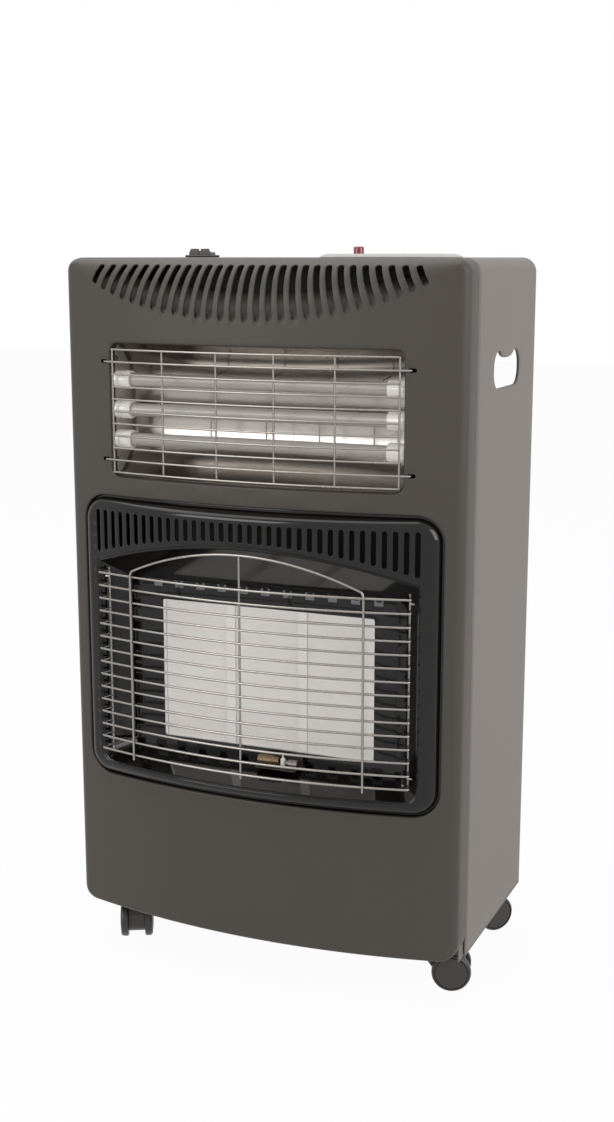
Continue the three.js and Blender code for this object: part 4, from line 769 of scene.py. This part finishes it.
window_low, window_high = 512.3, 644.2
trough_half, trough_back, trough_lip = 155, 30, 8.3
points, faces = [], []
columns, bends = spread(-trough_half, trough_half, 10), 36
for x in columns:
    for j in range(bends + 1):
        v = 2 * j / bends - 1
        rim_y = bow(x) + trough_lip
        points.append(at(x, rim_y + (trough_back - rim_y) * (1 - v ** 4),
                         window_low - 3.5 + (window_high - window_low + 7) * (v + 1) / 2))
for i in range(len(columns) - 1):
    for j in range(bends):
        a = i * (bends + 1) + j
        faces.append((a, a + bends + 1, a + bends + 2, a + 1))
trough = piece("mirror_trough", points, faces)
skin = trough.modifiers.new("wall", "SOLIDIFY")
skin.thickness = 0.001
skin.offset = -1
trough.data.materials.append(finish("polished_trough", (166, 161, 156), 0.2, metal=1, grain=60, relief=0.02,
                                    mottle=0.05, cloud=12, stretch=(1, 1, 3)))
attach(trough, "cabinet")
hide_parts("reflector")
plate_steel = finish("end_plate_steel", (222, 218, 213), 0.3, metal=0.6, grain=700, relief=0.003,
                     mottle=0.04)
for node in ("end_plate_left", "end_plate_right"):
    dress(node, plate_steel)

satin_quartz = finish("satin_quartz", (176, 170, 164), 0.32, grain=500, relief=0.01, mottle=0.04, cloud=30,
                      stretch=(4, 1, 1), Coat_Weight=0.3, Coat_Roughness=0.15)
core_wire = finish("wound_core", (96, 90, 84), 0.5, metal=0.7, grain=500, relief=0.05, mottle=0.2,
                   stretch=(6, 1, 1))
tube_y, tube_radius, tube_bore, tube_half, cap_x, spigot_end = -3, 6.4, 5.3, 147.8, 153.7, 157.8
for number, height in ((1, 607.75), (2, 578.25), (3, 548.75)):
    profile = [(tube_bore, -tube_half), (tube_radius, -tube_half), (tube_radius, tube_half),
               (tube_bore, tube_half), (tube_bore, -tube_half)]
    tube = turned(f"satin_tube_{number}", profile, lambda a, b, along: (along, tube_y + a, height + b))
    tube.data.materials.append(satin_quartz)
    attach(tube, "cabinet")
    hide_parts(f"quartz_tube_{number}")
    dress(f"heating_core_{number}", core_wire)
    for side, label in ((-1, "left"), (1, "right")):
        profile = [(0, spigot_end), (2.9, spigot_end), (3.5, spigot_end - 0.6), (3.5, cap_x), (8.6, cap_x),
                   (9.2, cap_x - 0.6), (9.2, 136.1), (8.9, 135.4), (8.2, 135.1), (6.7, 135.1), (6.7, 148.1),
                   (0, 148.1)]
        if side < 0:
            profile.reverse()
        cap = turned(f"porcelain_cap_{number}_{label}", profile,
                     lambda a, b, along: (side * along, tube_y + a, height + b))
        cap.data.materials.append(glazed)
        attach(cap, "cabinet")
        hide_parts(f"end_cap_{number}_{label}")

supports = [[(x, tube_y, 614.2), (x, 22, 617.5)] for x in (-44.3, 16.6, 71.7, 127.5)]
supports += [[(x, tube_y, 571.9), (x, tube_y, 555.1)] for x in (-49.3, 10, 65.2, 120.5)]
support_wire = 0.65
parts = [wirework("tube_supports", supports, support_wire)]
screw_head = [(0, 153.5), (1.3, 153.6), (2.4, 154.1), (2.9, 154.9), (2.9, 155.3)]
for side, label, profile in ((-1, "left", screw_head[::-1]), (1, "right", screw_head)):
    for level, y, z in (("top", -0.7, 628.5), ("low", -2.7, 527.5)):
        parts.append(turned(f"end_plate_screw_{label}_{level}", profile,
                            lambda a, b, along: (side * along, y + a, z + b), segments=20))
for part in parts:
    part.data.materials.append(bright_wire)
    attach(part, "cabinet")
    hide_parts("reflector")


# ---- Upper guard: eleven bowed wires across six uprights, in front of the quartz tubes.
# The second wire from each end reaches further and hooks into the holes of the panel.
def upper_bow(x):
    return bow(x) - 2


upper_low, upper_pitch, upper_half, hooked_half, hook_end, hook_depth = 517, 12.1, 150, 160, 161.5, 8
runs = []
for i in range(11):
    z = upper_low + upper_pitch * i
    hooked = i in (1, 9)
    half = hooked_half if hooked else upper_half
    run = [(x, upper_bow(x), z) for x in spread(-half, half, 10)]
    if hooked:
        hook_y = upper_bow(half) + hook_depth
        run = softened([(-hook_end, hook_y, z), run[0], run[1]], 2)[:-1] + run[1:-1] \
            + softened([run[-2], run[-1], (hook_end, hook_y, z)], 2)[1:]
    runs.append(run)
for x in spread(-upper_half, upper_half, 60):
    runs.append([(x, upper_bow(x) + 1.5, 516.4), (x, upper_bow(x) + 1.5, 638.6)])
upper_wire = 1.05
upper_guard = wirework("upper_guard_wires", runs, upper_wire)
upper_guard.data.materials.append(bright_wire)
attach(upper_guard, "cabinet")
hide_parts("upper_guard")


# ---- Rocker switch: a moulded frame snapped into the top, with two rockers side by side.
# Satin black plastic; the housing under the frame hangs down into the cabinet.
def block(name, outline, low, high, place, bevel=0.6):
    """Solid with a flat outline (a, b), from low to high, with eased edges. place(a, b, c) sets it."""
    count = len(outline)
    points = [at(*place(a, b, c)) for c in (low, high) for a, b in outline]
    faces = [tuple(range(count))[::-1], tuple(range(count, 2 * count))]
    faces += [(i, (i + 1) % count, count + (i + 1) % count, count + i) for i in range(count)]
    mesh = bpy.data.meshes.new(name)
    mesh.from_pydata(points, [], faces)
    mesh.update()
    made = bpy.data.objects.new(name, mesh)
    bpy.context.collection.objects.link(made)
    ease = made.modifiers.new("eased_edges", "BEVEL")
    ease.width = bevel / 1000
    ease.segments = 3
    ease.limit_method = "ANGLE"
    ease.angle_limit = radians(35)
    mesh.shade_smooth()
    mesh.set_sharp_from_angle(angle=radians(35))
    return made


black_plastic = finish("satin_black_plastic", (52, 48, 45), 0.4, grain=1300, relief=0.008, mottle=0.06)
bezel_z, rocker_z, rocker_apart = 728.8, 728.3, 5.9
rim_edge = [(0.3, 0.1), (0.5, 0.4), (0.5, 2.2)]
mouth_edge = [(0.15, 0.1), (0.2, 0.3), (0.2, 7)]
bezel = pressed_sheet("switch_bezel", lambda x, y: (switch_x + x, switch_y + y, bezel_z),
                      [(x, y) for x in spread(-14, 14, 2) for y in spread(-10, 10, 2)],
                      [(rounded_box(-14.5, 14.5, -10.5, 10.5, 2, pitch=3), rim_edge),
                       (rounded_box(-11.8, 11.8, -9, 9, 1, pitch=3), mouth_edge)], clear=0.8)
housing = block("switch_housing", [(-13, -9.2), (13, -9.2), (13, 9.2), (-13, 9.2)], 704, 721.5,
                lambda x, y, z: (switch_x + x, switch_y + y, z))
for part in (bezel, housing):
    part.data.materials.append(black_plastic)
    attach(part, "cabinet")
    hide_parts("switch_body")
outline = [(-8, -1), (-4.5, -5), (4.5, -5), (8, -1), (7.7, 4.5), (7.3, 5.2), (6.8, 5.4), (3.5, 3.7), (0, 3),
           (-3.5, 3.7), (-6.8, 5.4), (-7.3, 5.2), (-7.7, 4.5)]
count = len(outline)
tilt = radians(-14)
for side, label in ((-1, "left"), (1, "right")):
    points = []
    for x, drop in ((-5.5, 3), (-4.3, 0), (4.3, 0), (5.5, 3)):
        for y, z in outline:
            z -= drop if z > 0 else 0
            points.append(at(switch_x + side * rocker_apart + x, switch_y + y * cos(tilt) - z * sin(tilt),
                             rocker_z + y * sin(tilt) + z * cos(tilt)))
    faces = [tuple(range(count))[::-1], tuple(range(3 * count, 4 * count))]
    for low in (0, count, 2 * count):
        high = low + count
        faces += [(low + i, low + (i + 1) % count, high + (i + 1) % count, high + i) for i in range(count)]
    rocker = piece(f"rocker_cap_{label}", points, faces)
    ease = rocker.modifiers.new("eased_edges", "BEVEL")
    ease.width = 0.0004
    ease.segments = 2
    ease.limit_method = "ANGLE"
    rocker.data.materials.append(black_plastic)
    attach(rocker, f"{label}_rocker")
    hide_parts(f"rocker_{label}")


# ---- Gas control: a light domed plate, a well under it with the black knob, and a red igniter button.
# Small raised marks stand round the knob, which turns and sinks with its stem; the collar only sinks.
# The piezo igniter hangs under the button.
plate_plastic = finish("light_grey_plastic", (176, 171, 167), 0.42, grain=1300, relief=0.008, mottle=0.03)
dress("knob_well", plate_plastic)
plate_x, plate_half_x, plate_half_y, plate_corner = 96, 68, 37, 22
plate_edge_z, plate_rise, plate_slope = 727.2, 2.8, 9
plate_box = (plate_x - plate_half_x, plate_x + plate_half_x,
             control_y - plate_half_y, control_y + plate_half_y)


def domed(x, y):
    """Place on the plate, which rises over its outermost few millimetres."""
    past_x = abs(x - plate_x) - (plate_half_x - plate_corner)
    past_y = abs(y - control_y) - (plate_half_y - plate_corner)
    depth = plate_corner - hypot(max(past_x, 0), max(past_y, 0)) - min(max(past_x, past_y), 0)
    return x, y, plate_edge_z + plate_rise * sin(pi / 2 * min(1, max(0, depth) / plate_slope))


plate = pressed_sheet("domed_plate", domed,
                      [(x, y) for x in spread(*plate_box[:2], 3) for y in spread(*plate_box[2:], 3)],
                      [(rounded_box(*plate_box, plate_corner, pitch=3), [(0.25, 0.1), (0.35, 0.35)]),
                       (round_hole(well_x, control_y, 23, pitch=3, turns=12), rolled(0.4, 0.7)),
                       (round_hole(button_x, control_y, 5.6), rolled(0.3, 0.6))], clear=1)
marks, dial_radius = [], 28.5
for number, degrees_round in enumerate((135, 90, 78, 66, 54)):
    mark_x = well_x + dial_radius * cos(radians(degrees_round))
    mark_y = control_y + dial_radius * sin(radians(degrees_round))
    marks.append(turned(f"dial_mark_{number + 1}", [(1.0, 729.9), (1.0, 730.15), (0.8, 730.25), (0, 730.25)],
                        lambda a, b, height: (mark_x + a, mark_y + b, height), segments=16))
for part in (plate, *marks):
    part.data.materials.append(plate_plastic)
    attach(part, "cabinet")
    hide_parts("control_plate")
knob_z = 714
profile = [(3.3, 0), (19.5, 0), (19.5, 1.6), (19.1, 2.3), (17.7, 3.4), (17.2, 4.4), (16.6, 8.6), (15.8, 9.9),
           (14.4, 10.5), (0, 10.5)]
knob = turned("knob_body", profile, lambda a, b, height: (well_x + a, control_y + b, knob_z + height),
              segments=64)
grip = block("knob_grip", [(-16, 3), (16, 3), (15.2, 10), (14, 12), (-14, 12), (-15.2, 10)], -2.5, 2.5,
             lambda x, z, y: (well_x + x, control_y + y, knob_z + z), bevel=0.9)
for part in (knob, grip):
    part.data.materials.append(black_plastic)
    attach(part, "knob")
    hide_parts("control_knob")
red_plastic = finish("gloss_red_plastic", (128, 26, 37), 0.22, grain=700, relief=0.004, Coat_Weight=0.3)
profile = [(0, 722), (5.2, 722), (5.2, 735.6), (5.0, 736.3), (4.5, 736.8), (3.8, 737), (0, 737)]
button = turned("red_button", profile, lambda a, b, height: (button_x + a, control_y + b, height))
button.data.materials.append(red_plastic)
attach(button, "button")
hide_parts("igniter_button")
nickel = finish("nickel_plate", (205, 202, 196), 0.2, metal=1, relief=0.002, mottle=0.04)
for node in ("valve_stem", "spring_collar"):
    dress(node, nickel)
dress("piezo_igniter", black_plastic)
for node in ("gas_valve", "hose_tail"):
    dress(node, brass)
dress("gas_pipe", burner_steel)


# ---- Swivel casters: a moulded hood over twin wheels on one axle, under each corner of the base.
# Black polypropylene; a groove runs round the wheel's plain, slightly domed face.
caster_x = {"l": -171.5, "r": 171.5}
caster_y = {"f": 46, "r": 190}
caster_turn = {"fl": -63, "fr": 17, "rl": 150, "rr": 45}
wheel_trail, axle_z = 18, 20
for corner, degrees_turned in caster_turn.items():
    angle = radians(degrees_turned)
    px, py = caster_x[corner[1]], caster_y[corner[0]]

    def swivelled(x, y, z):
        return px + x * cos(angle) - y * sin(angle), py + x * sin(angle) + y * cos(angle), z

    dress(f"caster_{corner}_hood", black_plastic)
    half = [(2.6, 9), (19, 9), (20, 10), (20, 14), (19.7, 15.2), (19, 16.2), (18.2, 16.8), (17.4, 16.8),
            (17.1, 15.8), (16.3, 15.8), (16, 17), (14, 17.3), (8, 17.8), (0, 18)]
    profile = [(r, -w) for r, w in half[::-1]] + half
    wheels = turned(f"twin_wheels_{corner}", profile,
                    lambda a, b, along: swivelled(wheel_trail + a, along, axle_z + b))
    wheels.data.materials.append(black_plastic)
    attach(wheels, f"wheels_{corner}")
    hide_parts(f"caster_{corner}_wheels")


# ---- Electrical fittings inside: mains gland in the bulkhead, porcelain terminal block, tip-over switch.
dress("mains_gland", black_plastic)
dress("terminal_block", glazed)
dress("tip_over_switch", black_plastic)
